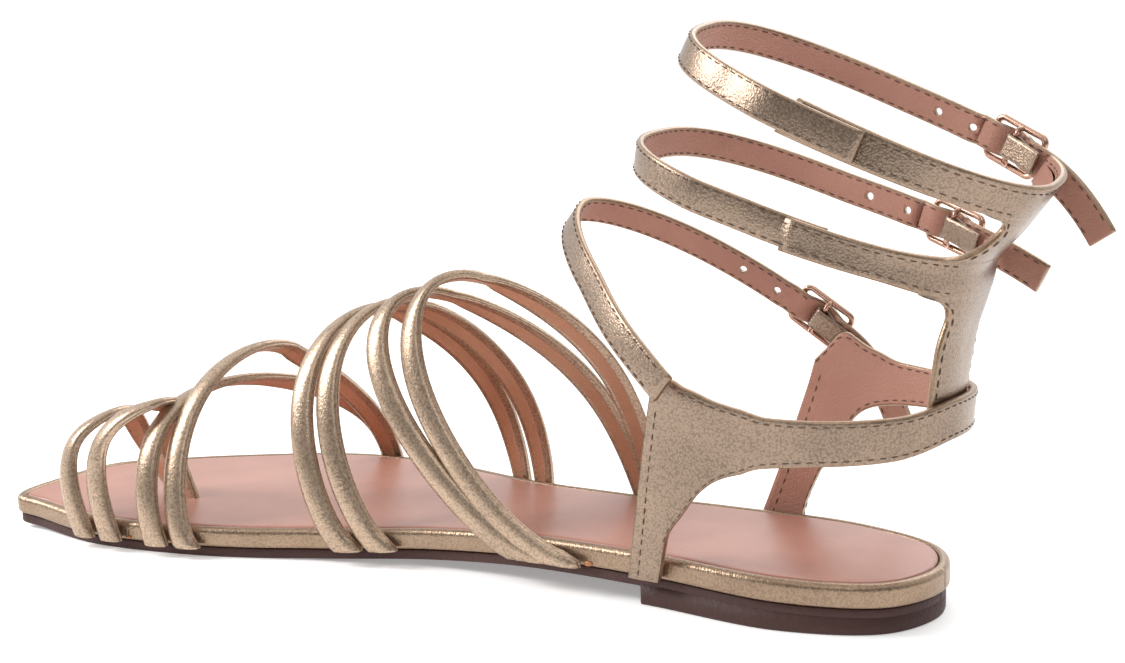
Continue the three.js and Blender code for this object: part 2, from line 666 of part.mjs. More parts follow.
function makeHeelBand() {
  const rows = refined(HEEL_BAND).map((row) => [
    [row.lowAt, row.low],
    [row.highAt, row.high],
  ]);
  return anklePanel(rows, BAND_EASE, BAND_EASE + LEATHER_T);
}

// The spine tucks inside the heel band; its branches carry the two upper ankle straps.
function makeSpine() {
  const [near, far] = [-GAP - LEATHER_T, -GAP];
  const stem = refined(STEM).map((row) => [
    [row.inner, row.at],
    [row.outer, row.at],
  ]);
  return shapeOf(
    BRANCHES.reduce((body, table) => {
      const rows = refined(table).map((row) => [
        [row.at, row.low],
        [row.at, row.high],
      ]);
      return body.add(solid(anklePanel(rows, near, far)));
    }, solid(anklePanel(stem, near, far))),
  );
}

// Ankle straps and buckles. Heights are out from the middle of the strap at its buckle.

const BAR_R = BUCKLE_WIRE / 2;
const TAB_R = BAR_R + GAP + TAB_T; // outside of the tab where it turns round the bar
const BAR_OUT = 0; // centre bar
const STRAP_HUMP = TAB_R + GAP + ANKLE_STRAP_T / 2; // middle of the strap over the bar
const FRAME_OUT = ANKLE_STRAP_T / 2 + GAP; // underside of the frame
const HUMP_REACH = BUCKLE_L / 2 - BUCKLE_WIRE - GAP;
const BUCKLE_ZONE = BUCKLE_L / 2 + 1; // the strap is straight this far each side of the bar

// Middle line of an ankle strap from its seam round the front to its tail.
function ankleStrapFrames(row) {
  const radius = (0.9 * ANKLE_WIDTH) / 2;
  const degrees = (length) => THREE.MathUtils.radToDeg(length / radius);
  const inward = -GAP - ANKLE_STRAP_T / 2;
  const layer = LEATHER_T / 2 + ANKLE_STRAP_T / 2 + GAP + BAND_EASE;
  const from = row.seam + degrees(row.lap);
  const home = buckleFrame(row);
  const base = row.level === null ? 0 : inward;
  let to = row.buckle;
  while (strapFrame(row, to).point.distanceTo(home.point) < BUCKLE_ZONE + ANKLE_STRAP_T) to += 1;
  const frames = [];
  for (let k = 0; k <= RING_STEPS; k += 1) {
    const at = from + ((to - from) * k) / RING_STEPS;
    const frame = strapFrame(row, at);
    const lap = THREE.MathUtils.smoothstep(at, row.seam - degrees(3), row.seam);
    frame.point.addScaledVector(frame.out, base + row.lapSide * layer * lap);
    frames.push(frame);
  }
  const local = (x) => {
    const near = Math.abs(x) < HUMP_REACH;
    const hump = near ? Math.cos((Math.PI * x) / (2 * HUMP_REACH)) ** 2 : 0;
    const past = Math.max(x - HUMP_REACH, 0) / (row.tail - HUMP_REACH);
    const lean = (2 * row.droop * past) / (row.tail - HUMP_REACH);
    const across = home.across.clone().addScaledVector(home.along, lean).normalize();
    const point = home.point.clone().addScaledVector(home.along, x);
    point.addScaledVector(home.out, hump * STRAP_HUMP + row.swing * past * past);
    point.addScaledVector(home.across, -row.droop * past * past);
    return { ...home, point, across };
  };
  frames.push(local(-BUCKLE_ZONE));
  const steps = 8;
  for (let k = 0; k <= steps; k += 1) frames.push(local(HUMP_REACH * ((2 * k) / steps - 1)));
  const tailSteps = 4;
  const rest = row.tail - BUCKLE_ZONE;
  for (let k = 0; k <= tailSteps; k += 1) frames.push(local(BUCKLE_ZONE + (rest * k) / tailSteps));
  return frames;
}

// Frame of a buckle, on the middle of its strap.
function buckleFrame(row) {
  const frame = strapFrame(row, row.buckle);
  frame.point.addScaledVector(frame.out, row.level === null ? 0 : -GAP - ANKLE_STRAP_T / 2);
  return frame;
}

function flatSection(width, thick) {
  const [w, t] = [width / 2, thick / 2];
  return [
    [-w, -t],
    [w, -t],
    [w, t],
    [-w, t],
  ];
}

// A shape in a buckle's own axes: X along the strap to its tail, Y down its width, Z outwards.
function placeAt(frame, geometry) {
  const down = frame.across.clone().negate();
  const basis = new THREE.Matrix4().makeBasis(frame.along, down, frame.out);
  basis.setPosition(frame.point);
  return geometry.applyMatrix4(basis);
}

function roundedRectangle(target, width, height, radius) {
  const [w, h] = [width / 2, height / 2];
  target.moveTo(-w + radius, -h);
  target.lineTo(w - radius, -h);
  target.absarc(w - radius, -h + radius, radius, -Math.PI / 2, 0);
  target.lineTo(w, h - radius);
  target.absarc(w - radius, h - radius, radius, 0, Math.PI / 2);
  target.lineTo(-w + radius, h);
  target.absarc(-w + radius, h - radius, radius, Math.PI / 2, Math.PI);
  target.lineTo(-w, -h + radius);
  target.absarc(-w + radius, -h + radius, radius, Math.PI, 1.5 * Math.PI);
  return target;
}

// Rectangular frame with rounded corners, its centre bar lower than the frame.
function makeBuckle(row) {
  const inside = ANKLE_STRAP_W + 2 * SIDE_PLAY;
  const height = inside + 2 * BUCKLE_WIRE;
  const shape = roundedRectangle(new THREE.Shape(), BUCKLE_L, height, 2);
  shape.holes.push(roundedRectangle(new THREE.Path(), BUCKLE_L - 2 * BUCKLE_WIRE, inside, 0.5));
  const rim = new THREE.ExtrudeGeometry(shape, {
    depth: BUCKLE_WIRE,
    bevelEnabled: false,
    curveSegments: 3,
  });
  rim.translate(0, 0, FRAME_OUT);
  const bar = new THREE.CylinderGeometry(BAR_R, BAR_R, inside + BUCKLE_WIRE, 8);
  bar.translate(0, 0, BAR_OUT);
  let body = solid(rim).add(solid(bar));
  [-1, 1].forEach((side) => {
    const tall = FRAME_OUT - BAR_OUT + BUCKLE_WIRE;
    const post = new THREE.BoxGeometry(BUCKLE_WIRE, BUCKLE_WIRE, tall);
    post.translate(0, (side * (inside + BUCKLE_WIRE)) / 2, BAR_OUT - BAR_R + tall / 2);
    body = body.add(solid(post));
  });
  return placeAt(buckleFrame(row), shapeOf(body));
}

// Prong through the strap's hole, its tip on the front of the frame.
function makeProng(row) {
  const high = STRAP_HUMP + ANKLE_STRAP_T / 2 + GAP + PRONG_R;
  const low = FRAME_OUT + BUCKLE_WIRE + GAP + PRONG_R;
  const deep = BAR_OUT + TAB_R + GAP;
  const reach = BUCKLE_L / 2;
  const path = [
    [0, deep],
    [0, high],
    [-reach * 0.45, high],
    [-reach, low],
  ];
  const curve = new THREE.CurvePath();
  path.slice(1).forEach(([x, z], i) => {
    const [fromX, fromZ] = path[i];
    curve.add(new THREE.LineCurve3(new THREE.Vector3(fromX, 0, fromZ), new THREE.Vector3(x, 0, z)));
  });
  const round = new THREE.Shape().absarc(0, 0, PRONG_R, 0, 2 * Math.PI);
  const rod = new THREE.ExtrudeGeometry(round, { steps: 8, extrudePath: curve, curveSegments: 6 });
  return placeAt(buckleFrame(row), rod);
}

// Folded tab round the centre bar, its tongue on the inside of the leather that holds it.
function makeTab(row) {
  const home = buckleFrame(row);
  const straight = row.level === null;
  const under = -GAP - (straight ? ANKLE_STRAP_T / 2 : LEATHER_T + GAP);
  const side = (distance) => {
    const steps = 4;
    return [...Array(steps + 1).keys()].map((k) => {
      if (straight) return new THREE.Vector2(1.6 * TAB_R + (TAB_L * k) / steps, distance);
      const degrees = row.buckle - 9 + ((row.tabEnd - row.buckle + 9) * k) / steps;
      const { point, out } = strapFrame(row, degrees);
      point.addScaledVector(out, distance).sub(home.point);
      return new THREE.Vector2(point.dot(home.along), point.dot(home.out));
    });
  };
  const tab = new THREE.Shape();
  tab.moveTo(0, BAR_OUT + TAB_R);
  tab.absarc(0, BAR_OUT, TAB_R, Math.PI / 2, 1.5 * Math.PI);
  side(under - TAB_T).forEach((point) => tab.lineTo(point.x, point.y));
  side(under).reverse().forEach((point) => tab.lineTo(point.x, point.y));
  tab.lineTo(0, BAR_OUT + TAB_R);
  tab.holes.push(new THREE.Path().absarc(0, BAR_OUT, BAR_R + GAP, 0, 2 * Math.PI, true));
  const strip = new THREE.ExtrudeGeometry(tab, { depth: TAB_W, bevelEnabled: false, curveSegments: 6 });
  strip.rotateX(Math.PI / 2);
  strip.translate(0, TAB_W / 2, 0);
  return placeAt(home, strip);
}

function makeAnkleStrap(row) {
  const strap = solid(sweep(ankleStrapFrames(row), flatSection(ANKLE_STRAP_W, ANKLE_STRAP_T)));
  const hole = new THREE.CylinderGeometry(PRONG_R + GAP, PRONG_R + GAP, 3 * ANKLE_STRAP_T, 10);
  hole.rotateX(Math.PI / 2);
  hole.translate(0, 0, STRAP_HUMP);
  return shapeOf(strap.subtract(solid(placeAt(buckleFrame(row), hole))));
}

// Assembly

const group = new THREE.Group();

function addPiece(name, geometry, finish) {
  const bare = geometry.index ? geometry.toNonIndexed() : geometry;
  bare.computeVertexNormals();
  const mesh = new THREE.Mesh(bare, new THREE.MeshStandardMaterial(finish));
  mesh.name = name;
  group.add(mesh);
}

addPiece("heel_lift", makeHeelLift(), FINISH.outsole);
addPiece("outsole", makeOutsole(), FINISH.outsole);
addPiece("footbed", makeFootbed(), FINISH.footbed);
addPiece("insole", makeInsole(), FINISH.insole);
makeVampStraps().forEach(([name, geometry]) => addPiece(name, geometry, FINISH.strap));
addPiece("heel_band", makeHeelBand(), FINISH.strap);
addPiece("back_spine", makeSpine(), FINISH.strap);
ANKLE_STRAPS.forEach((row) => {
  addPiece(`${row.name}_ankle_strap`, makeAnkleStrap(row), FINISH.strap);
  addPiece(`${row.name}_buckle`, makeBuckle(row), FINISH.buckle);
  addPiece(`${row.name}_prong`, makeProng(row), FINISH.buckle);
  addPiece(`${row.name}_tab`, makeTab(row), FINISH.strap);
});
group.position.x = -HEEL_CENTRE;

export default group;
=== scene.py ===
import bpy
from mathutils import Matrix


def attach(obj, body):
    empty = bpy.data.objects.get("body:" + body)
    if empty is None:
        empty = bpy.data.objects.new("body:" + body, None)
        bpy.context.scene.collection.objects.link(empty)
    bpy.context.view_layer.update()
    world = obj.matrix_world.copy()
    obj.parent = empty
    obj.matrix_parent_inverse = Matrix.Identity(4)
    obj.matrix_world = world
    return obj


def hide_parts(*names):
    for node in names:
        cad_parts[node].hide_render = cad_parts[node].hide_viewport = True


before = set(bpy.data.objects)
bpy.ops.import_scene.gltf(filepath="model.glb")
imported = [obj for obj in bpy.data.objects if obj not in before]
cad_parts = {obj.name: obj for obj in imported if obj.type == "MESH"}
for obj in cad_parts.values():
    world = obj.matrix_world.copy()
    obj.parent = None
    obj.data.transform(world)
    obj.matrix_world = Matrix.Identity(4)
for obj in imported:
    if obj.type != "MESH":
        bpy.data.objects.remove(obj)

"""Looks of the gladiator sandal: fine leather, stitches, buckles and light over the CAD frame.

Lengths in the tables are millimetres or shares of the named sizes, with X from the back of the
heel to the toe, Y to the inner side and Z up. Finished meshes are in metres in the row's frame.
"""

import logging
import math
from dataclasses import dataclass, field
from enum import Enum
from typing import Callable, Iterable, Sequence

import bpy
import numpy as np
from mathutils import Matrix, Vector

logging.basicConfig(level=logging.INFO, format="%(message)s")
log = logging.getLogger("sandal")

Array = np.ndarray
Row = dict[str, float]
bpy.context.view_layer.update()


# Numbers


def smooth_table(at: Sequence[float], values: Sequence[float]) -> Callable[[Array], Array]:
    """A smooth curve through a table that never overshoots its rows.

    Args:
        at: increasing places of the rows.
        values: value of each row.

    Returns:
        A function of an array of places, straight beyond both ends.
    """
    x, y = np.asarray(at, float), np.asarray(values, float)
    step = np.diff(y) / np.diff(x)
    slope = np.zeros(len(x))
    same = step[:-1] * step[1:] > 0
    total = np.where(same, step[:-1] + step[1:], 1.0)
    slope[1:-1] = np.where(same, 2 * step[:-1] * step[1:] / total, 0.0)
    slope[0], slope[-1] = step[0], step[-1]

    def curve(place: Array) -> Array:
        """Values of the curve at places.

        Args:
            place: places along the table's first column.

        Returns:
            One value for each place.
        """
        p = np.asarray(place, float)
        i = np.clip(np.searchsorted(x, p, side="right") - 1, 0, len(x) - 2)
        span = x[i + 1] - x[i]
        t = (p - x[i]) / span
        ease = t * t * (3 - 2 * t)
        inside = y[i] * (1 - ease) + y[i + 1] * ease
        inside += t * (1 - t) ** 2 * span * slope[i] + t * t * (t - 1) * span * slope[i + 1]
        low = y[0] + slope[0] * (p - x[0])
        high = y[-1] + slope[-1] * (p - x[-1])
        return np.where(p < x[0], low, np.where(p > x[-1], high, inside))

    return curve


def signed_power(value: Array, power: Array | float) -> Array:
    """A number raised to a power with its sign kept."""
    return np.sign(value) * np.abs(value) ** power


def unit(vectors: Array) -> Array:
    """Vectors of length one along the last axis."""
    length = np.linalg.norm(vectors, axis=-1, keepdims=True)
    return vectors / np.maximum(length, 1e-9)


def refined(table: Sequence[Row], cells: int) -> list[Row]:
    """Adds rows between the rows of a table.

    Args:
        table: rows with the same named columns.
        cells: cells between two rows.

    Returns:
        The finer rows.
    """
    place = np.linspace(0, len(table) - 1, (len(table) - 1) * cells + 1)
    count = range(len(table))
    columns = {k: smooth_table(count, [row[k] for row in table])(place) for k in table[0]}
    return [{k: float(v[i]) for k, v in columns.items()} for i in range(len(place))]


def rows(names: str, *values: Sequence[float]) -> list[Row]:
    """A table with named columns.

    Args:
        names: column names, separated by spaces.
        values: one sequence of numbers for each row.

    Returns:
        The rows as dictionaries.
    """
    return [dict(zip(names.split(), row)) for row in values]


@dataclass(frozen=True)
class Sizes:
    """Driving sizes of the sandal in millimetres, the same as those of the CAD part."""

    length: float = 246
    ball_width: float = 86
    heel_centre: float = 28
    heel_breast: float = 63
    heel_lift: float = 4.2
    toe_spring: float = 2.2
    outsole_t: float = 2.5
    outsole_inset: float = 0.9
    footbed_heel_t: float = 5.2
    footbed_toe_t: float = 4.6
    footbed_round: float = 1.5
    rim: float = 2.4
    insole_t: float = 1.1
    instep_rise: float = 57
    vamp_w: float = 6.2
    vamp_t: float = 2.5
    ankle_height: float = 108
    ankle_width: float = 62
    ankle_strap_w: float = 7
    ankle_strap_t: float = 1.6
    leather_t: float = 1.7
    buckle_l: float = 15
    wire: float = 1.5
    tab_w: float = 5
    tab_t: float = 0.8
    prong_r: float = 0.7
    gap: float = 0.3
    side_play: float = 0.4


SIZE = Sizes()


# Meshes


class Ring(Enum):
    """How the ends of a run of rings are closed."""

    PAIRS = "pairs"
    OPEN = "open"


@dataclass
class Shell:
    """Points and faces of one piece, gathered before they become a mesh.

    Args:
        points: rows of x, y, z in millimetres.
        faces: corner numbers of each face.
        slots: material number of each face.
        across: how far each point lies across its strip, from -1 to 1.
        along: length along its strip of each point, in millimetres.
    """

    points: list[Array] = field(default_factory=list)
    faces: list[tuple[int, ...]] = field(default_factory=list)
    slots: list[int] = field(default_factory=list)
    across: list[float] = field(default_factory=list)
    along: list[float] = field(default_factory=list)

    def loft(self, rings: Array, slots: Sequence[int], across: Sequence[float] | None = None,
             ends: Ring = Ring.PAIRS) -> None:
        """Adds a band through rings of equal length.

        Args:
            rings: array of rings, points and x, y, z.
            slots: material number for each cell round a ring.
            across: place across the strip of each point of a ring.
            ends: how both ends are closed.
        """
        rings = np.asarray(rings, float)
        count, size = rings.shape[:2]
        base = sum(len(p) for p in self.points)
        middle = rings.mean(axis=1)
        run = np.concatenate([[0], np.cumsum(np.linalg.norm(np.diff(middle, axis=0), axis=1))])
        self.points.append(rings.reshape(-1, 3))
        self.across += list(across if across is not None else np.zeros(size)) * count
        self.along += list(np.repeat(run, size))
        volume = 0.0
        faces: list[tuple[int, ...]] = []
        marks: list[int] = []
        for r in range(count - 1):
            for i in range(size):
                a, b = r * size + i, r * size + (i + 1) % size
                faces.append((a, b, b + size, a + size))
                marks.append(slots[i])
        if ends is Ring.PAIRS:
            end = (count - 1) * size
            for i in range(size // 2 - 1):
                a, b, c, d = i, i + 1, size - 2 - i, size - 1 - i
                faces += [(d, c, b, a), (end + a, end + b, end + c, end + d)]
                marks += [slots[-1], slots[-1]]
        flat = rings.reshape(-1, 3)
        for f in faces:
            p = flat[list(f)]
            volume += float(np.dot(p[0], np.cross(p[1], p[2]))
                            + np.dot(p[0], np.cross(p[2], p[-1])))
        turn = volume < 0
        for f, mark in zip(faces, marks):
            corners = tuple(base + i for i in (reversed(f) if turn else f))
            self.faces.append(corners)
            self.slots.append(mark)

    def make(self, name: str, materials: Sequence[bpy.types.Material]) -> bpy.types.Object:
        """Makes the mesh object in the row's frame.

        Args:
            name: name of the object.
            materials: one material for each slot number.

        Returns:
            The new smooth object, at the origin.
        """
        points = np.concatenate(self.points) - np.array([SIZE.heel_centre, 0, 0])
        mesh = bpy.data.meshes.new(name)
        mesh.from_pydata((points / 1000).tolist(), [], self.faces)
        for material in materials:
            mesh.materials.append(material)
        mesh.polygons.foreach_set("material_index", self.slots)
        mesh.polygons.foreach_set("use_smooth", [True] * len(self.faces))
        for key, values in (("across", self.across), ("along", self.along)):
            mesh.attributes.new(key, "FLOAT", "POINT").data.foreach_set("value", values)
        mesh.update()
        mesh.validate()
        made = bpy.data.objects.new(name, mesh)
        bpy.context.scene.collection.objects.link(made)
        return made


def strip_frames(points: Array, out: Array) -> tuple[Array, Array, Array]:
    """Squares up frames along a line.

    Args:
        points: the line.
        out: rough outward direction at each point.

    Returns:
        Directions along, across and out at each point.
    """
    along = unit(np.gradient(points, axis=0))
    out = unit(out - (out * along).sum(1, keepdims=True) * along)
    return along, np.cross(out, along), out


def swept(points: Array, across: Array, out: Array, section: Array) -> Array:
    """Rings of a section carried along a line.

    Args:
        points: the line.
        across: direction across the strip at each point.
        out: outward direction at each point.
        section: rows of distance across and out, in millimetres.

    Returns:
        Array of rings, points and x, y, z.
    """
    sideways = across[:, None, :] * section[None, :, 0, None]
    outwards = out[:, None, :] * section[None, :, 1, None]
    return points[:, None, :] + sideways + outwards


# The last


class Last:
    """The shape that the pieces are made over: sole outline, heights and ankle surface."""

    outline_rows = rows(
        "at out",
        (0.0, 0.0), (0.026, 0.2), (0.114, 0.298), (0.244, 0.263), (0.366, 0.23), (0.488, 0.23),
        (0.61, 0.312), (0.732, 0.425), (0.854, 0.466), (0.953, 0.422), (0.985, 0.412),
        (0.996, 0.187), (0.988, -0.045), (0.943, -0.235), (0.862, -0.43), (0.752, -0.56),
        (0.63, -0.535), (0.488, -0.385), (0.366, -0.302), (0.244, -0.285), (0.114, -0.285),
        (0.026, -0.185),
    )
    rise_rows = rows(
        "at heel toe",
        (0.0, 0.72, 0), (0.244, 1.0, 0), (0.366, 0.9, 0), (0.488, 0.5, 0), (0.61, 0.1, 0),
        (0.68, 0, 0), (0.86, 0, 0), (0.95, 0, 0.35), (1.0, 0, 1),
    )
    ankle_rows = rows(
        "up middle back front side half height gain drop roll full yaw",
        (0.074, 0.142, 0.142, 0.366, -0.013, 0.403, 0.074, 0, 0, 0, 2.2, 0),
        (0.398, 0.142, 0.151, 0.305, -0.011, 0.465, 0.398, 0, 0, 0, 2.2, 0),
        (0.556, 0.142, 0.156, 0.244, -0.04, 0.492, 0.574, 0.044, 0.029, 0, 2.4, 0.03),
        (0.697, 0.139, 0.166, 0.15, -0.089, 0.511, 0.813, 0.122, 0.122, -0.026, 2.6, 0.062),
        (0.77, 0.112, 0.165, 0.155, -0.09, 0.489, 0.903, 0.14, 0.14, -0.06, 2.6, 0.07),
        (0.843, 0.082, 0.162, 0.16, -0.092, 0.463, 1.0, 0.158, 0.158, -0.096, 2.6, 0.081),
    )
    instep_ring = dict(
        middle=0.124, front=0.243, back=0.243, side=-0.003, half=0.607, height=0.367,
        gain=0.448, drop=0.448, roll=-0.07, bow=-0.053, full=1.74, yaw=-0.052,
    )
    radian = 0.565

    def __init__(self) -> None:
        """Works the curves out from the tables."""
        self.outline = self._outline()
        self.heel_rise = self._column(self.rise_rows, "at", "heel")
        self.toe_rise = self._column(self.rise_rows, "at", "toe")
        keys = [k for k in self.ankle_rows[0] if k != "up"]
        self.columns = {k: self._column(self.ankle_rows, "up", k) for k in keys}
        self.sides = self.outline_sides(0)

    @staticmethod
    def _column(table: Sequence[Row], key: str, column: str) -> Callable[[Array], Array]:
        """A smooth curve through one column of a table."""
        return smooth_table([row[key] for row in table], [row[column] for row in table])

    def _outline(self) -> Array:
        """Points of the closed outline through the rows, with even rounding.

        Returns:
            Points round the sole, starting at the back of the heel.
        """
        p = np.array([(r["at"] * SIZE.length, r["out"] * SIZE.ball_width)
                      for r in self.outline_rows])
        count, parts = len(p), []
        t = np.linspace(0, 1, 25)[:-1, None]
        for i in range(count):
            a, b, c, d = (p[(i + k) % count] for k in (-1, 0, 1, 2))
            e, f, g = (np.sqrt(np.linalg.norm(v)) for v in (b - a, c - b, d - c))
            m = ((b - a) / e - (c - a) / (e + f) + (c - b) / f) * f
            n = ((c - b) / f - (d - b) / (f + g) + (d - c) / g) * f
            parts.append(b + m * t + (3 * (c - b) - 2 * m - n) * t**2
                             + (2 * (b - c) + m + n) * t**3)
        return np.concatenate(parts)

    def outline_sides(self, inset: float) -> tuple[Array, Array]:
        """The outline moved in by an inset.

        Args:
            inset: distance in from the footbed's edge.

        Returns:
            Its inner and outer sides from heel to toe.
        """
        along = unit(np.roll(self.outline, -1, 0) - np.roll(self.outline, 1, 0))
        moved = self.outline + np.stack([along[:, 1], -along[:, 0]], -1) * inset
        heel, toe = int(moved[:, 0].argmin()), int(moved[:, 0].argmax())
        ring = np.roll(moved, -heel, 0)
        cut = (toe - heel) % len(moved)
        inner, outer = ring[: cut + 1], np.concatenate([ring[:1], ring[cut:][::-1]])
        for side in (inner, outer):
            side[:, 0] = np.maximum.accumulate(side[:, 0])
        return inner, outer

    def side_y(self, inner: bool, x: Array) -> Array:
        """Y of the footbed's edge at X on one side."""
        side = self.sides[0 if inner else 1]
        return np.interp(x, side[:, 0], side[:, 1])

    def sole_rise(self, x: Array) -> Array:
        """Underside of the outsole above the floor."""
        at = np.clip(np.asarray(x) / SIZE.length, 0, 1)
        return SIZE.heel_lift * self.heel_rise(at) + SIZE.toe_spring * self.toe_rise(at)

    def base(self, x: Array) -> Array:
        """Underside of the footbed."""
        return self.sole_rise(x) + SIZE.outsole_t + SIZE.gap

    def top(self, x: Array) -> Array:
        """Top of the footbed's rim."""
        thick = SIZE.footbed_heel_t + (SIZE.footbed_toe_t - SIZE.footbed_heel_t) * x / SIZE.length
        return self.base(x) + thick

    def oval(self, s: dict[str, Array], turn: Array) -> Array:
        """Points of a tilted oval section.

        Args:
            s: its columns, as in the table of the ankle.
            turn: turn from the front in radians, inner side positive.

        Returns:
            Points in millimetres.
        """
        share = signed_power(np.cos(turn), 2 / s["full"])
        along = np.where(share > 0, s["front"], s["back"]) * SIZE.length * share
        across = s["half"] * SIZE.ankle_width * signed_power(np.sin(turn), 2 / s["full"])
        climb = np.where(share > 0, s["gain"], s["drop"]) * share
        bow = s.get("bow", 0.0) * (share**2 - 0.5)
        cos, sin = np.cos(s["yaw"]), np.sin(s["yaw"])
        return np.stack([
            s["middle"] * SIZE.length + along * cos - across * sin,
            s["side"] * SIZE.ankle_width + along * sin + across * cos,
            (s["height"] + climb + bow) * SIZE.ankle_height + s["roll"] * across,
        ], -1)

    def ankle_point(self, turn: Array, level: Array) -> Array:
        """Points of the ankle surface at turns and levels."""
        return self.oval({k: c(level) for k, c in self.columns.items()}, turn)

    def instep_point(self, turn: Array, level: Array) -> Array:
        """Points round the lowest strap's own oval.

        Args:
            turn: turn from the front in radians.
            level: distance square to its plane, shares of the ankle's height.

        Returns:
            Points in millimetres.
        """
        ring = self.instep_ring
        slope = ring["gain"] * SIZE.ankle_height / (ring["front"] * SIZE.length)
        square = np.array([-slope, -ring["roll"], 1.0]) * SIZE.ankle_height
        return self.oval(ring, turn) + np.asarray(level)[..., None] * square

    def frames(self, at: Callable[[Array, Array], Array], turn: Array, level: Array
               ) -> tuple[Array, Array, Array, Array]:
        """Frames on a surface.

        Args:
            at: the surface's points by turn and level.
            turn: turns in radians.
            level: levels.

        Returns:
            Points, and directions along (towards a strap's tail), across (up) and out.
        """
        turn, level = np.broadcast_arrays(np.asarray(turn, float), np.asarray(level, float))
        small = 0.01
        along = unit(at(turn - small, level) - at(turn + small, level))
        up = at(turn, level + small) - at(turn, level - small)
        across = unit(up - (up * along).sum(-1, keepdims=True) * along)
        return at(turn, level), along, across, np.cross(across, along)

    def panel_points(self, at: Array, level: Array, distance: Array | float) -> Array:
        """Points over the unrolled ankle surface.

        Args:
            at: distance round from the back, shares of the ankle's width.
            level: levels.
            distance: distance out in millimetres.

        Returns:
            Points in millimetres.
        """
        point, _, _, out = self.frames(
            self.ankle_point, math.pi - np.asarray(at) / self.radian, level)
        return point + out * np.asarray(distance)[..., None]


LAST = Last()


# Shader maths


class Socket:
    """A shader value that can be used in sums."""

    def __init__(self, tree: "Tree", socket: bpy.types.NodeSocket) -> None:
        """Wraps an output socket of a tree."""
        self.tree, self.socket = tree, socket

    def _math(self, kind: str, *values: "Socket | float") -> "Socket":
        """A Math node over these values."""
        return self.tree.add("ShaderNodeMath", {"operation": kind}, dict(enumerate(values)))

    def __add__(self, other: "Socket | float") -> "Socket":
        """Sum."""
        return self._math("ADD", self, other)

    def __sub__(self, other: "Socket | float") -> "Socket":
        """Difference."""
        return self._math("SUBTRACT", self, other)

    def __mul__(self, other: "Socket | float") -> "Socket":
        """Product."""
        return self._math("MULTIPLY", self, other)

    def __truediv__(self, other: "Socket | float") -> "Socket":
        """Quotient."""
        return self._math("DIVIDE", self, other)

    def __rsub__(self, other: float) -> "Socket":
        """Difference from a number."""
        return self._math("SUBTRACT", other, self)

    def __pow__(self, other: float) -> "Socket":
        """Power."""
        return self._math("POWER", self, other)

    __radd__, __rmul__ = __add__, __mul__

    def step(self, low: float, high: float) -> "Socket":
        """A smooth step from 0 at low to 1 at high.

        Args:
            low: value that gives 0.
            high: value that gives 1.

        Returns:
            The stepped value.
        """
        return self.tree.add(
            "ShaderNodeMapRange", {"interpolation_type": "SMOOTHSTEP"}, {0: self, 1: low, 2: high}
        )


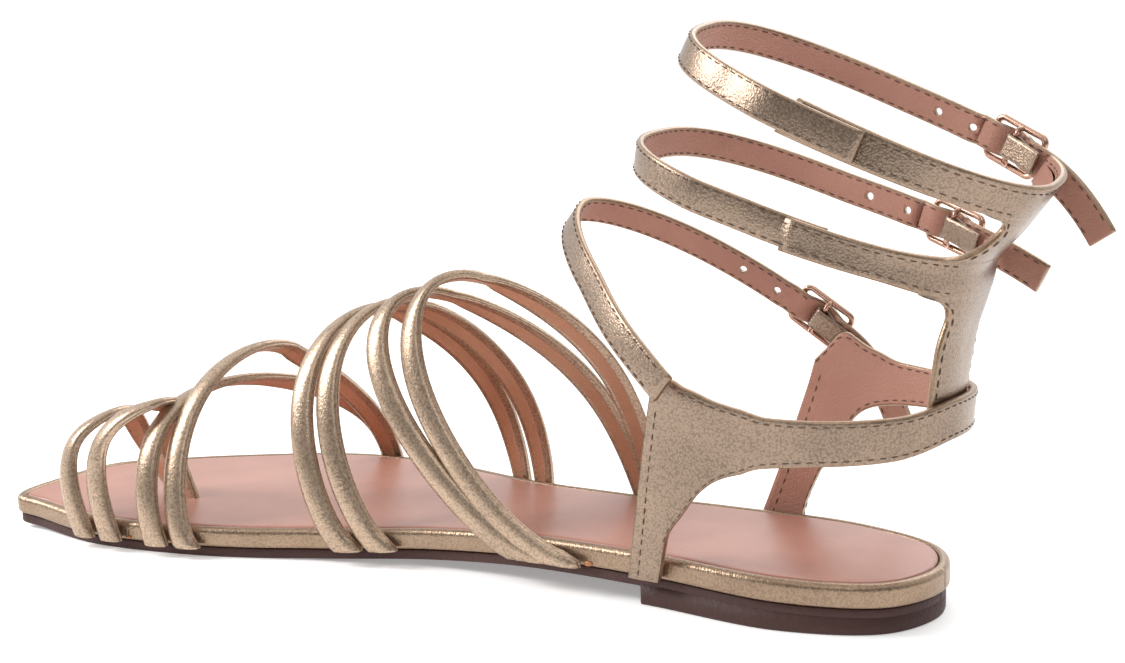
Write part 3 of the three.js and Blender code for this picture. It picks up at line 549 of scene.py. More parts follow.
class Tree:
    """Node tree of one material or world."""

    def __init__(self, name: str, world: bool = False) -> None:
        """Starts a tree.

        Args:
            name: name of the material or world.
            world: makes a world with a Background shader, not a material.
        """
        self.owner = (bpy.data.worlds if world else bpy.data.materials).new(name)
        self.owner.use_nodes = True
        self.nodes = self.owner.node_tree.nodes
        self.links = self.owner.node_tree.links
        kind = "BACKGROUND" if world else "BSDF_PRINCIPLED"
        self.shader = next(n for n in self.nodes if n.type == kind)

    def set(self, target: bpy.types.NodeSocket,
            value: "Socket | float | Sequence[float]") -> None:
        """Links or sets one input.

        Args:
            target: the input.
            value: a socket to link, or a constant to set on the input itself.
        """
        if isinstance(value, Socket):
            self.links.new(value.socket, target)
        else:
            target.default_value = value

    def add(self, kind: str, settings: dict[str, object] | None = None,
            inputs: dict[object, object] | None = None, output: int | str = 0) -> Socket:
        """Adds a node.

        Args:
            kind: node type.
            settings: its properties.
            inputs: values or links by number or name of the input.
            output: which output to use.

        Returns:
            That output.
        """
        node = self.nodes.new(kind)
        for key, value in (settings or {}).items():
            setattr(node, key, value)
        for key, value in (inputs or {}).items():
            self.set(node.inputs[key], value)
        return Socket(self, node.outputs[output])

    def place(self) -> Socket:
        """Object coordinates in metres."""
        return self.add("ShaderNodeTexCoord", output="Object")

    def noise(self, scale: float, detail: float = 3, rough: float = 0.55,
              place: Socket | None = None) -> Socket:
        """Noise.

        Args:
            scale: size of the pattern, per metre.
            detail: number of finer layers.
            rough: share of the finer layers.
            place: coordinates, or the object's own.

        Returns:
            A number from 0 to 1.
        """
        return self.add("ShaderNodeTexNoise", {}, {
            "Vector": place or self.place(), "Scale": scale, "Detail": detail, "Roughness": rough,
        })

    def pebbles(self, scale: float) -> Socket:
        """Soft cells, as in pebbled leather.

        Args:
            scale: cells per metre.

        Returns:
            Distance to the nearest cell centre.
        """
        return self.add("ShaderNodeTexVoronoi", {"feature": "SMOOTH_F1"}, {
            "Vector": self.place(), "Scale": scale, "Smoothness": 0.6,
        })

    def attribute(self, name: str) -> Socket:
        """A number stored on the mesh."""
        return self.add("ShaderNodeAttribute", {"attribute_name": name}, {}, "Fac")

    def mix(self, factor: "Socket | float", a: "Socket | Sequence[float]",
            b: "Socket | Sequence[float]") -> Socket:
        """Mixes two colours."""
        return self.add("ShaderNodeMix", {"data_type": "RGBA"}, {0: factor, 6: a, 7: b}, 2)

    def bump(self, height: Socket, distance: float, strength: float = 1.0,
             under: Socket | None = None) -> Socket:
        """Bump from a height.

        Args:
            height: height from 0 to 1.
            distance: how many metres a height of 1 stands for.
            strength: share of the bump that shows.
            under: normal that it is added to.

        Returns:
            The new normal.
        """
        inputs = {"Height": height, "Distance": distance, "Strength": strength}
        if under is not None:
            inputs["Normal"] = under
        return self.add("ShaderNodeBump", {}, inputs)

    def finish(self, **inputs: object) -> bpy.types.ID:
        """Sets the shader's inputs.

        Args:
            inputs: values by input name, with underscores for spaces.

        Returns:
            The material or world.
        """
        for key, value in inputs.items():
            self.set(self.shader.inputs[key.replace("_", " ")], value)
        return self.owner


@dataclass(frozen=True)
class FoilLeather:
    """Pale gold foil leather with fine pebbled grain.

    Args:
        light: colour where the foil is clean.
        dark: colour where the foil is thin, and painted shade in the hollows of the grain.
        grain: pebbles per metre.
        depth: depth of the grain in metres.
        wrinkle: depth of the cross wrinkles in metres.
    """

    # These defaults make the darker copy of the gold foil used on the panels, ankle straps and
    # tabs: painted shade.
    light: tuple[float, float, float, float] = (0.36, 0.262, 0.192, 1)
    dark: tuple[float, float, float, float] = (0.135, 0.097, 0.072, 1)
    grain: float = 2000
    depth: float = 0.00007
    wrinkle: float = 0.0

    def build(self, name: str) -> bpy.types.Material:
        """Builds the material.

        Args:
            name: its name.

        Returns:
            The material.
        """
        t = Tree(name)
        broad = t.noise(45, 3)
        fine = t.noise(2600, 2)
        cells = t.pebbles(self.grain)
        # The dark colour comes in at random where the foil is thin and, as painted shade, in the
        # hollows between the grain's pebbles.
        wear_and_painted_shade = broad.step(0.35, 0.7) * 0.25 + cells.step(0.25, 0.8) * 0.5
        height = (1 - cells) * 0.8 + fine * 0.35 + t.noise(380, 2) * 0.5
        normal = t.bump(height, self.depth)
        if self.wrinkle:
            wave = t.noise(900, 2, 0.6, t.add("ShaderNodeCombineXYZ", {}, {
                "X": t.attribute("along") * 0.001, "Y": t.attribute("across") * 0.0002,
            }))
            normal = t.bump(wave, self.wrinkle, 1.0, normal)
        return t.finish(
            Base_Color=t.mix(wear_and_painted_shade, self.light, self.dark),
            Metallic=0.82,
            Roughness=broad * 0.14 + fine * 0.12 + 0.2,
            Normal=normal,
            Coat_Weight=0.12,
            Coat_Roughness=0.35,
        )


@dataclass(frozen=True)
class SoftLeather:
    """Lining, insole or rubber: one colour that varies softly, with fine grain.

    Args:
        light: lighter colour.
        dark: darker colour.
        rough: roughness.
        grain: pebbles per metre.
        depth: depth of the grain in metres.
        sheen: weight of the soft sheen.
        coat: weight of a thin clear finish.
    """

    light: tuple[float, float, float, float]
    dark: tuple[float, float, float, float]
    rough: float = 0.6
    grain: float = 2200
    depth: float = 0.0001
    sheen: float = 0.0
    coat: float = 0.0

    def build(self, name: str) -> bpy.types.Material:
        """Builds the material.

        Args:
            name: its name.

        Returns:
            The material.
        """
        t = Tree(name)
        broad, fine = t.noise(30, 4), t.noise(1400, 3)
        normal = t.bump((1 - t.pebbles(self.grain)) + fine * 0.6, self.depth)
        return t.finish(
            Base_Color=t.mix(broad.step(0.3, 0.72) * 0.75 + fine * 0.25, self.light, self.dark),
            Roughness=broad * 0.15 + (self.rough - 0.08),
            Normal=normal,
            Sheen_Weight=self.sheen,
            Coat_Weight=self.coat,
            Coat_Roughness=0.3,
        )


@dataclass(frozen=True)
class RoseMetal:
    """Polished rose-gold buckle metal with soft patches of duller tone."""

    color: tuple[float, float, float, float] = (0.60, 0.38, 0.29, 1)
    dull: tuple[float, float, float, float] = (0.42, 0.25, 0.19, 1)

    def build(self, name: str) -> bpy.types.Material:
        """Builds the material.

        Args:
            name: its name.

        Returns:
            The material.
        """
        t = Tree(name)
        wear_and_painted_shade = t.noise(120, 3)
        return t.finish(
            Base_Color=t.mix(wear_and_painted_shade.step(0.45, 0.8), self.color, self.dull),
            Metallic=1.0,
            Roughness=wear_and_painted_shade * 0.2 + 0.16,
        )


class Looks:
    """All materials of the sandal."""

    def __init__(self) -> None:
        """Builds each material once."""
        # Darker copy of the padded straps' gold foil, for the panels, ankle straps and tabs:
        # painted shade where they face away from the lamps.
        self.gold = FoilLeather().build("gold_leather")
        self.padded = FoilLeather(
            light=(0.57, 0.42, 0.30, 1), dark=(0.20, 0.14, 0.098, 1), depth=0.00006, wrinkle=0.00005
        ).build("gold_leather_padded")
        # Darker copy of the same gold foil on the footbed's wrapped side: painted shade.
        self.band = FoilLeather(
            light=(0.40, 0.28, 0.19, 1), dark=(0.20, 0.135, 0.09, 1), wrinkle=0.00016
        ).build("gold_footbed_wrap_painted_shade")
        self.edge = FoilLeather(
            light=(0.40, 0.28, 0.19, 1), dark=(0.25, 0.16, 0.10, 1), depth=0.00004
        ).build("painted_edge")
        self.lining = SoftLeather(
            (0.50, 0.26, 0.19, 1), (0.38, 0.18, 0.13, 1)).build("ankle_lining")
        self.vamp_lining = SoftLeather(
            (0.62, 0.31, 0.19, 1), (0.50, 0.23, 0.13, 1), 0.55
        ).build("vamp_lining")
        self.insole = SoftLeather(
            (0.50, 0.21, 0.14, 1), (0.35, 0.135, 0.09, 1), 0.4, 1800, 0.00005, 0.1, 0.35
        ).build("insole")
        self.rubber = SoftLeather(
            (0.07, 0.024, 0.018, 1), (0.045, 0.015, 0.012, 1), 0.6, 900, 0.0001
        ).build("outsole")
        self.thread = SoftLeather(
            (0.15, 0.085, 0.05, 1), (0.08, 0.045, 0.03, 1), 0.7).build("thread")
        self.glue = SoftLeather(
            (0.50, 0.19, 0.05, 1), (0.32, 0.11, 0.03, 1), 0.3, 900, 0.0002, 0, 0.6
        ).build("glue")
        self.metal = RoseMetal().build("rose_metal")


# Stitches


class Stitches:
    """Rows of raised stitches laid along lines by Geometry Nodes."""

    pitch = 2.5
    long = 1.6
    radius = 0.17

    def __init__(self, thread: bpy.types.Material) -> None:
        """Builds the node group once."""
        self.group = self._group(thread)

    def _group(self, thread: bpy.types.Material) -> bpy.types.NodeTree:
        """The node group: resamples each line and sets a stitch at each point.

        Args:
            thread: material of the stitches.

        Returns:
            The group.
        """
        g = bpy.data.node_groups.new("stitch_row", "GeometryNodeTree")
        g.interface.new_socket("Geometry", in_out="INPUT", socket_type="NodeSocketGeometry")
        g.interface.new_socket("Pitch", in_out="INPUT", socket_type="NodeSocketFloat")
        g.interface.new_socket("Length", in_out="INPUT", socket_type="NodeSocketFloat")
        g.interface.new_socket("Radius", in_out="INPUT", socket_type="NodeSocketFloat")
        g.interface.new_socket("Geometry", in_out="OUTPUT", socket_type="NodeSocketGeometry")
        new, link = g.nodes.new, g.links.new
        start, end = new("NodeGroupInput"), new("NodeGroupOutput")
        curve, even = new("GeometryNodeMeshToCurve"), new("GeometryNodeResampleCurve")
        if hasattr(even, "mode"):
            even.mode = "LENGTH"
        else:
            even.inputs["Mode"].default_value = "Length"
        tangent, turn = new("GeometryNodeInputTangent"), new("FunctionNodeAlignRotationToVector")
        turn.axis = "Z"
        rod, shape = new("GeometryNodeMeshIcoSphere"), new("GeometryNodeTransform")
        rod.inputs["Subdivisions"].default_value = 2
        rod.inputs["Radius"].default_value = 1.0
        size, half = new("ShaderNodeCombineXYZ"), new("ShaderNodeMath")
        half.operation = "MULTIPLY"
        half.inputs[1].default_value = 0.5
        spots, real = new("GeometryNodeInstanceOnPoints"), new("GeometryNodeRealizeInstances")
        paint, smooth = new("GeometryNodeSetMaterial"), new("GeometryNodeSetShadeSmooth")
        paint.inputs["Material"].default_value = thread
        link(start.outputs["Geometry"], curve.inputs["Mesh"])
        link(curve.outputs["Curve"], even.inputs["Curve"])
        link(start.outputs["Pitch"], even.inputs["Length"])
        link(start.outputs["Length"], half.inputs[0])
        link(start.outputs["Radius"], size.inputs["X"])
        link(start.outputs["Radius"], size.inputs["Y"])
        link(half.outputs[0], size.inputs["Z"])
        link(rod.outputs["Mesh"], shape.inputs["Geometry"])
        link(size.outputs[0], shape.inputs["Scale"])
        link(tangent.outputs[0], turn.inputs["Vector"])
        link(even.outputs["Curve"], spots.inputs["Points"])
        link(shape.outputs["Geometry"], spots.inputs["Instance"])
        link(turn.outputs[0], spots.inputs["Rotation"])
        link(spots.outputs["Instances"], real.inputs["Geometry"])
        link(real.outputs["Geometry"], smooth.inputs["Geometry"])
        link(smooth.outputs["Geometry"], paint.inputs["Geometry"])
        link(paint.outputs["Geometry"], end.inputs["Geometry"])
        return g

    def sew(self, name: str, lines: Iterable[Array],
            thread: bpy.types.Material) -> bpy.types.Object:
        """Sews stitches along lines.

        Args:
            name: name of the finished mesh.
            lines: points of each line in millimetres.
            thread: material of the stitches.

        Returns:
            One plain mesh object of all the stitches.
        """
        points, edges, count = [], [], 0
        for line in lines:
            points.append((line - np.array([SIZE.heel_centre, 0, 0])) / 1000)
            edges += [(count + i, count + i + 1) for i in range(len(line) - 1)]
            count += len(line)
        mesh = bpy.data.meshes.new(name + "_lines")
        mesh.from_pydata(np.concatenate(points).tolist(), edges, [])
        source = bpy.data.objects.new(name + "_lines", mesh)
        bpy.context.scene.collection.objects.link(source)
        modifier = source.modifiers.new("stitches", "NODES")
        modifier.node_group = self.group
        values = {"Pitch": self.pitch / 1000, "Length": self.long / 1000,
                  "Radius": self.radius / 1000}
        for item in self.group.interface.items_tree:
            if getattr(item, "in_out", "") == "INPUT" and item.name in values:
                modifier[item.identifier] = values[item.name]
        evaluated = source.evaluated_get(bpy.context.evaluated_depsgraph_get())
        made = bpy.data.objects.new(name, bpy.data.meshes.new_from_object(evaluated))
        bpy.context.scene.collection.objects.link(made)
        bpy.data.objects.remove(source)
        if not made.data.materials:
            made.data.materials.append(thread)
        return made


def settle(piece: bpy.types.Object, slot: str, *nodes: str) -> bpy.types.Object:
    """Hands a finished piece to the frame.

    Args:
        piece: the mesh object.
        slot: material slot of the record; not used.
        nodes: CAD nodes that it stands for.

    Returns:
        The piece.
    """
    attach(piece, "root")
    if nodes:
        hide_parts(*nodes)
    log.info("%s: %d faces", piece.name, len(piece.data.polygons))
    return piece


# Sub-assemblies


@dataclass
class Sole:
    """Heel lift, outsole, wrapped footbed and insole.

    Args:
        looks: materials.
        stations: cells along the sole.
    """

    looks: Looks
    stations: int = 150

    def plate(self, name: str, levels: Sequence[tuple[float, Callable[[Array], Array]]],
              material: bpy.types.Material, front: float | None = None) -> bpy.types.Object:
        """A plate of the sole's outline.

        Args:
            name: name of the object.
            levels: inset and height at each X of each ring.
            material: its material.
            front: X of a straight front face, or None for the whole sole.

        Returns:
            The object.
        """
        rings = []
        for inset, z in levels:
            inner, outer = LAST.outline_sides(inset)
            low, high = inner[0, 0], front or inner[-1, 0]
            turn = np.linspace(0, math.pi, self.stations + 1)
            share = 1 - np.cos(turn / 2) if front else (1 - np.cos(turn)) / 2
            x = low + (high - low) * share
            side = [np.interp(x, s[:, 0], s[:, 1]) for s in (inner, outer)]
            side[1][0] = side[0][0]
            if not front:
                side[1][-1] = side[0][-1]
            ring = [np.stack([x, y, z(x)], -1) for y in side]
            rings.append(np.concatenate([ring[0], ring[1][::-1]]))
        shell = Shell()
        shell.loft(np.array(rings), [0] * len(rings[0]))
        runs = np.linalg.norm(np.diff(rings[0], axis=0, prepend=rings[0][:1]), axis=1).cumsum()
        shell.along = list(runs) * len(rings)
        return shell.make(name, [material])

    def build(self) -> None:
        """Builds the four pieces of the sole."""
        s, rise = SIZE, LAST.sole_rise
        edge = s.outsole_inset
        rubber = self.looks.rubber
        lift = self.plate("heel_lift_fine", [
            (edge + 0.5, lambda x: 0 * x), (edge + 0.1, lambda x: 0 * x + 0.15),
            (edge, lambda x: 0 * x + 0.5), (edge - 0.02, lambda x: rise(x) + 0.6),
        ], rubber, s.heel_breast)
        settle(lift, "rubber", "heel_lift")
        outsole = self.plate("outsole_fine", [
            (edge + 0.6, rise), (edge + 0.15, lambda x: rise(x) + 0.1),
            (edge, lambda x: rise(x) + 0.5),
            (edge, lambda x: rise(x) + s.outsole_t - 0.3),
            (edge + 0.15, lambda x: rise(x) + s.outsole_t - 0.05),
            (edge + 0.5, lambda x: rise(x) + s.outsole_t),
        ], rubber)
        settle(outsole, "rubber", "outsole")
        self.build_footbed()
        self.build_insole()

    def build_footbed(self) -> None:
        """The wrapped footbed with a rounded edge and a rim round the insole."""
        s = SIZE
        r = s.footbed_round
        turns = np.linspace(0, math.pi / 2, 7)
        levels: list[tuple[float, Callable[[Array], Array]]] = [
            (0.9, LAST.base), (0.35, lambda x: LAST.base(x) + 0.05),
            (0.08, lambda x: LAST.base(x) + 0.35), (0.0, lambda x: LAST.base(x) + 0.9),
            (0.0, lambda x: LAST.top(x) - r - 0.8),
        ]
        for t in turns:
            levels.append((r * (1 - math.cos(t)),
                           lambda x, t=t: LAST.top(x) - r * (1 - math.sin(t))))
        levels += [
            (s.rim - 0.5, lambda x: LAST.top(x) - 0.05),
            (s.rim - 0.1, lambda x: LAST.top(x) - 0.35),
            (s.rim + 0.05, lambda x: LAST.top(x) - 0.8), (s.rim + 0.1, lambda x: LAST.top(x) - 1.4),
        ]
        band = self.plate("footbed_fine", levels, self.looks.band)
        settle(band, "gold_leather", "footbed")

    def build_insole(self) -> None:
        """The glued insole, its edge turned down."""
        s = SIZE
        inset = s.rim + 0.25
        insole = self.plate("insole_fine", [
            (inset, lambda x: LAST.top(x) - s.insole_t), (inset, lambda x: LAST.top(x) - 0.5),
            (inset + 0.15, lambda x: LAST.top(x) - 0.2),
            (inset + 0.5, lambda x: LAST.top(x) - 0.06),
            (inset + 1.1, LAST.top), (inset + 2.2, lambda x: LAST.top(x) + 0.02),
        ], self.looks.insole)
        settle(insole, "insole_leather", "insole")


@dataclass
class VampStraps:
    """Padded straps over the toes, the ball and the instep.

    Args:
        looks: materials.
        steps: cells along a strap.
        trim: length added at each foot and then trimmed level with the footbed's underside.
    """

    looks: Looks
    steps: int = 110
    trim: float = 4.0
    names = ("forefoot_straps",) * 4 + ("lower_instep_straps",) * 2 + ("upper_instep_straps",) * 2
    table = rows(
        "inner outer lean skew third rise ridge full full_out bulge bulge_out slot tilt",
        (0.861, 0.834, 0.033, -0.012, 0.016, 0.431, -0.01, 2.3, 2.2, 0.014, 0, 0.134, 0.3),
        (0.825, 0.819, -0.006, 0.004, 0.02, 0.5, 0.09, 2.2, 2.2, 0.012, 0, 0.155, 0.3),
        (0.769, 0.738, 0.011, 0.023, 0.005, 0.521, 0.36, 1.9, 2.0, 0.036, 0.024, 0, 0.3),
        (0.733, 0.734, 0.012, 0.032, 0.01, 0.661, 0.42, 1.4, 1.67, 0.016, 0.02, 0, 0.3),
        (0.569, 0.527, 0.056, 0.058, 0.008, 0.861, 0.28, 1.5, 1.86, 0.034, 0.012, 0, 0.45),
        (0.533, 0.493, 0.061, 0.075, 0.006, 0.882, 0.3, 1.52, 1.8, 0.031, 0.021, 0, 0.45),
        (0.363, 0.348, 0.176, 0.136, 0.009, 0.93, 0.31, 1.36, 2.17, 0.047, 0.014, 0, 0.45),
        (0.329, 0.339, 0.157, 0.146, 0.011, 1.008, 0.26, 1.25, 2.12, 0.068, 0.022, 0, 0.45),
    )

    def line(self, row: Row) -> tuple[Array, Array]:
        """Middle line of a strap and its rough outward directions.

        Args:
            row: its row of the table.

        Returns:
            Points and directions.
        """
        turn = np.linspace(0, math.pi, self.steps + 1)
        cos, sin = np.cos(turn), np.sin(turn)
        x = SIZE.length * (
            row["inner"] + (row["outer"] - row["inner"]) * (1 - cos) / 2 + row["lean"] * sin
            + row["skew"] * sin * cos + row["third"] * np.sin(3 * turn)
        )
        full = row["full"] + (row["full_out"] - row["full"]) * (1 - cos) / 2
        side, lift = signed_power(cos, 2 / full), np.abs(sin) ** (2 / full)
        clear = SIZE.gap + 0.7 + SIZE.vamp_t / 2
        inner = LAST.side_y(True, x) + clear + row["bulge"] * SIZE.ball_width * lift
        outer = LAST.side_y(False, x) - clear - row["bulge_out"] * SIZE.ball_width * lift
        in_slot = bool(row["slot"]) & (cos < 0)
        if row["slot"]:
            outer = np.full_like(x, row["slot"] * SIZE.ball_width)
        y = (inner + outer) / 2 + (inner - outer) / 2 * side
        wrap = np.where(in_slot, SIZE.insole_t, LAST.top(x) - LAST.base(x) - 0.1)
        height = lift * (1 + row["ridge"] * cos)
        z = LAST.top(x) - np.abs(side) ** 8 * wrap + row["rise"] * SIZE.instep_rise * height
        reach = SIZE.vamp_w / 2
        slope_in = (LAST.side_y(True, x + reach) - LAST.side_y(True, x - reach)) / (2 * reach)
        slope_out = (LAST.side_y(False, x + reach) - LAST.side_y(False, x - reach)) / (2 * reach)
        ones = np.ones_like(x)
        normal = np.where((cos > 0)[:, None],
                          unit(np.stack([-slope_in, ones, 0 * x], -1)),
                          unit(np.stack([slope_out, -ones, 0 * x], -1)))
        normal[in_slot] = (0, -1, 0)
        tilt = row["tilt"] * sin * (1 + 0.65 * (1 - cos))
        out = normal * np.abs(side)[:, None] + np.stack([tilt, 0 * x, height], -1)
        return np.stack([x, y, z], -1), out

    def section(self) -> tuple[Array, list[int], Array]:
        """Flat inside with folded edges, a thin rim, and a padded rounded outside.

        Returns:
            Its points, the material number of each cell and the place across of each point.
        """
        w, t = SIZE.vamp_w / 2, SIZE.vamp_t / 2
        folds = [(-0.86, -1.0), (-0.74, -0.92), (-0.64, -1.0), (-0.52, -0.92), (-0.42, -1.0)]
        inside = [(-0.97, -0.86), *folds, (-0.3, -0.9), (0, -0.88), (0.3, -0.88), (0.66, -0.92),
                  (0.82, -1.0), (0.97, -0.86)]
        rim = [(1.0, -0.62), (0.99, -0.44), (0.925, -0.36), (0.945, -0.2)]
        turns = np.linspace(0, math.pi, 13)
        dome = [(0.955 * math.cos(a), 1.05 * signed_power(math.sin(a), 0.85) - 0.05) for a in turns]
        outside = rim + dome + [(-x, z) for x, z in reversed(rim)]
        shape = np.array(inside + outside)
        slots = [0] * 6 + [1] * 3 + [0] * (len(shape) - 9)
        across = shape[:, 0].copy()
        return shape * np.array([w, t]), slots, across

    def build(self) -> None:
        """Builds the straps, their feet trimmed level under the footbed."""
        section, slots, across = self.section()
        for name in dict.fromkeys(self.names):
            shell = Shell()
            for i, row in enumerate(self.table):
                if self.names[i] != name:
                    continue
                points, rough = self.line(row)
                down = np.array([[0, 0, -self.trim]])
                points = np.concatenate([points[:1] + down, points, points[-1:] + down])
                rough = np.concatenate([rough[:1], rough, rough[-1:]])
                _, sideways, out = strip_frames(points, rough)
                rings = swept(points, sideways, out, section)
                foot = LAST.base(rings[..., 0])
                if row["slot"]:
                    tucked = LAST.top(rings[..., 0]) - SIZE.insole_t
                    foot = np.where(rings[..., 1] < row["slot"] * SIZE.ball_width + 4, tucked, foot)
                rings[..., 2] = np.maximum(rings[..., 2], foot)
                shell.loft(rings, slots, across)
            piece = shell.make(name + "_fine", [self.looks.padded, self.looks.vamp_lining])
            settle(piece, "gold_leather", name)


@dataclass
class Panels:
    """Heel band with its legs, and the back spine with its branches.

    Args:
        looks: materials.
        stitches: sewing rows.
        across: cells across a panel.
        cells: cells between two rows of a table.
    """

    looks: Looks
    stitches: Stitches
    across: int = 14
    cells: int = 8
    seam_in: float = 0.95
    band = rows(
        "low_at low high_at high",
        (1.052, 0.07, 1.032, 0.461), (1.028, 0.069, 0.998, 0.484), (1.006, 0.069, 0.974, 0.474),
        (0.997, 0.158, 0.952, 0.467), (0.969, 0.226, 0.926, 0.456), (0.942, 0.279, 0.897, 0.447),
        (0.905, 0.316, 0.861, 0.439), (0.835, 0.341, 0.806, 0.432), (0.677, 0.351, 0.677, 0.431),
        (0.387, 0.36, 0.387, 0.436), (0.076, 0.383, 0.076, 0.457), (-0.226, 0.382, -0.226, 0.454),
        (-0.532, 0.377, -0.532, 0.45), (-0.71, 0.37, -0.694, 0.453), (-0.81, 0.356, -0.782, 0.469),
        (-0.869, 0.321, -0.831, 0.48), (-0.91, 0.225, -0.865, 0.493),
        (-0.931, 0.139, -0.889, 0.502),
        (-0.943, 0.069, -0.913, 0.472), (-1.0, 0.07, -0.934, 0.445),
    )
    creases = rows(
        "at level turn reach wide bow depth",
        (0.86, 0.405, 38, 9, 1.3, 1.0, -0.22), (0.9, 0.38, 47, 9, 1.2, 1.4, 0.16),
        (0.78, 0.41, 20, 8, 1.2, 0.8, -0.16), (0.98, 0.33, 74, 8, 1.4, 0.6, -0.18),
        (1.01, 0.19, 84, 7, 1.5, 0.3, -0.16), (0.3, 0.405, 96, 5, 1.1, 0.0, -0.14),
        (0.13, 0.42, 82, 6, 1.2, 0.2, -0.14), (-0.84, 0.42, 140, 8, 1.3, 0.8, -0.18),
        (0.0, 0.6, 92, 9, 1.3, 0.5, -0.15), (0.02, 0.76, 80, 7, 1.2, 0.3, -0.12),
    )
    stem = rows(
        "at inner outer",
        (0.387, 0.19, -0.2), (0.46, 0.2, -0.205), (0.55, 0.205, -0.2), (0.61, 0.2, -0.2),
        (0.635, 0.225, -0.215), (0.65, 0.28, -0.25), (0.664, 0.4, -0.3), (0.719, 0.4, -0.29),
        (0.73, 0.27, -0.235), (0.75, 0.215, -0.21), (0.785, 0.2, -0.21), (0.803, 0.25, -0.24),
        (0.818, 0.4, -0.3), (0.85, 0.4, -0.3),
    )
    middle_branch = rows(
        "at low high",
        (0.85, 0.675, 0.719), (0.6, 0.674, 0.72), (0.34, 0.664, 0.723), (0.1, 0.658, 0.724),
        (-0.1, 0.66, 0.722), (-0.32, 0.67, 0.712),
    )
    top_branch = rows(
        "at low high",
        (0.97, 0.821, 0.865), (0.8, 0.821, 0.865), (0.6, 0.82, 0.865), (0.38, 0.816, 0.864),
        (0.1, 0.81, 0.862), (-0.1, 0.81, 0.862), (-0.32, 0.819, 0.861),
    )

    def creased(self, at: Array, level: Array) -> Array:
        """Distance out that the soft creases add.

        Args:
            at: places round from the back, shares of the ankle's width.
            level: levels.

        Returns:
            Distances in millimetres.
        """
        total = 0 * at
        for c in self.creases:
            x = (at - c["at"]) * SIZE.ankle_width
            z = (level - c["level"]) * SIZE.ankle_height
            lean = math.radians(c["turn"])
            along = x * math.cos(lean) + z * math.sin(lean)
            over = z * math.cos(lean) - x * math.sin(lean)
            over = over - c["bow"] * (along / c["reach"]) ** 2
            fade = np.exp(-((along / c["reach"]) ** 4))
            total = total + c["depth"] * fade * np.exp(-((over / c["wide"]) ** 2))
        return total

    def panel(self, shell: Shell, low: Array, high: Array, near: float, far: float) -> None:
        """Adds a panel with rounded edges.

        Args:
            shell: where it goes.
            low: place round and level of the lower edge at each row.
            high: the same for the upper edge.
            near: distance out of its inside.
            far: distance out of its outside.
        """
        share = np.linspace(0, 1, self.across + 1)
        grid = low[:, None, :] + (high - low)[:, None, :] * share[None, :, None]
        thick = far - near
        inside = LAST.panel_points(grid[..., 0], grid[..., 1], near + 0 * grid[..., 0])
        swell = self.creased(grid[..., 0], grid[..., 1]) * np.sin(share * math.pi) ** 0.5
        outside = LAST.panel_points(grid[..., 0], grid[..., 1], far + swell)
        middle = (inside + outside) / 2
        sideways = unit(middle[:, -1] - middle[:, 0])
        turns = np.linspace(0, math.pi, 7)[1:-1]

        def cap(edge: int, sign: float) -> Array:
            """Rounded edge at one side of the panel.

            Args:
                edge: column of the panel's points, 0 or -1.
                sign: 1 at the last column and -1 at the first.

            Returns:
                Points of the edge, row by row.
            """
            up = (outside[:, edge] - inside[:, edge]) / 2
            return np.stack([
                middle[:, edge] - up * math.cos(a) * sign
                + sideways * math.sin(a) * 0.3 * thick * sign
                for a in turns
            ], 1)
        rings = np.concatenate([inside, cap(-1, 1.0), outside[:, ::-1], cap(0, -1.0)], axis=1)
        n, c = self.across, len(turns) + 1
        slots = [1] * n + [2] * c + [0] * n + [2] * c
        across = list(2 * share - 1) + [1.0] * (c - 1) + list(1 - 2 * share) + [-1.0] * (c - 1)
        shell.loft(rings, slots, across)

    def edge_line(self, at: Array, level: Array, inward: Array, distance: float) -> Array:
        """A stitch line set in from an edge.

        Args:
            at: place round of the edge.
            level: its level.
            inward: direction into the panel, in place round and level.
            distance: distance out of the line.

        Returns:
            Points in millimetres.
        """
        scale = np.array([SIZE.ankle_width, SIZE.ankle_height * 1.35])
        step = unit(inward * scale) * self.seam_in / scale
        return LAST.panel_points(at + step[:, 0], level + step[:, 1], distance + 0 * at)

    def build(self) -> None:
        """Builds both panels and their stitches."""
        looks = [self.looks.gold, self.looks.lining, self.looks.edge]
        fine = refined(self.band, self.cells)
        low = np.array([(r["low_at"], r["low"]) for r in fine])
        high = np.array([(r["high_at"], r["high"]) for r in fine])
        near, far = 0.25, 0.25 + SIZE.leather_t
        shell = Shell()
        self.panel(shell, low, high, near, far)
        settle(shell.make("heel_band_fine", looks), "gold_leather", "heel_band")
        lines = []
        for out in (far + 0.02, near - 0.02):
            lines.append(self.edge_line(high[2:-2, 0], high[2:-2, 1], (low - high)[2:-2], out))
            lines.append(self.edge_line(low[24:-12, 0], low[24:-12, 1], (high - low)[24:-12], out))
            share = np.linspace(0.03, 0.9, 60)[:, None]
            for end, sign in ((0, -1.0), (-1, 1.0)):
                side = low[end] + (high[end] - low[end]) * share
                lines.append(self.edge_line(side[:, 0], side[:, 1], np.array([[sign, 0]]), out))
        sewn = self.stitches.sew("heel_band_stitches", lines, self.looks.thread)
        settle(sewn, "gold_leather")
        self.build_spine(looks)

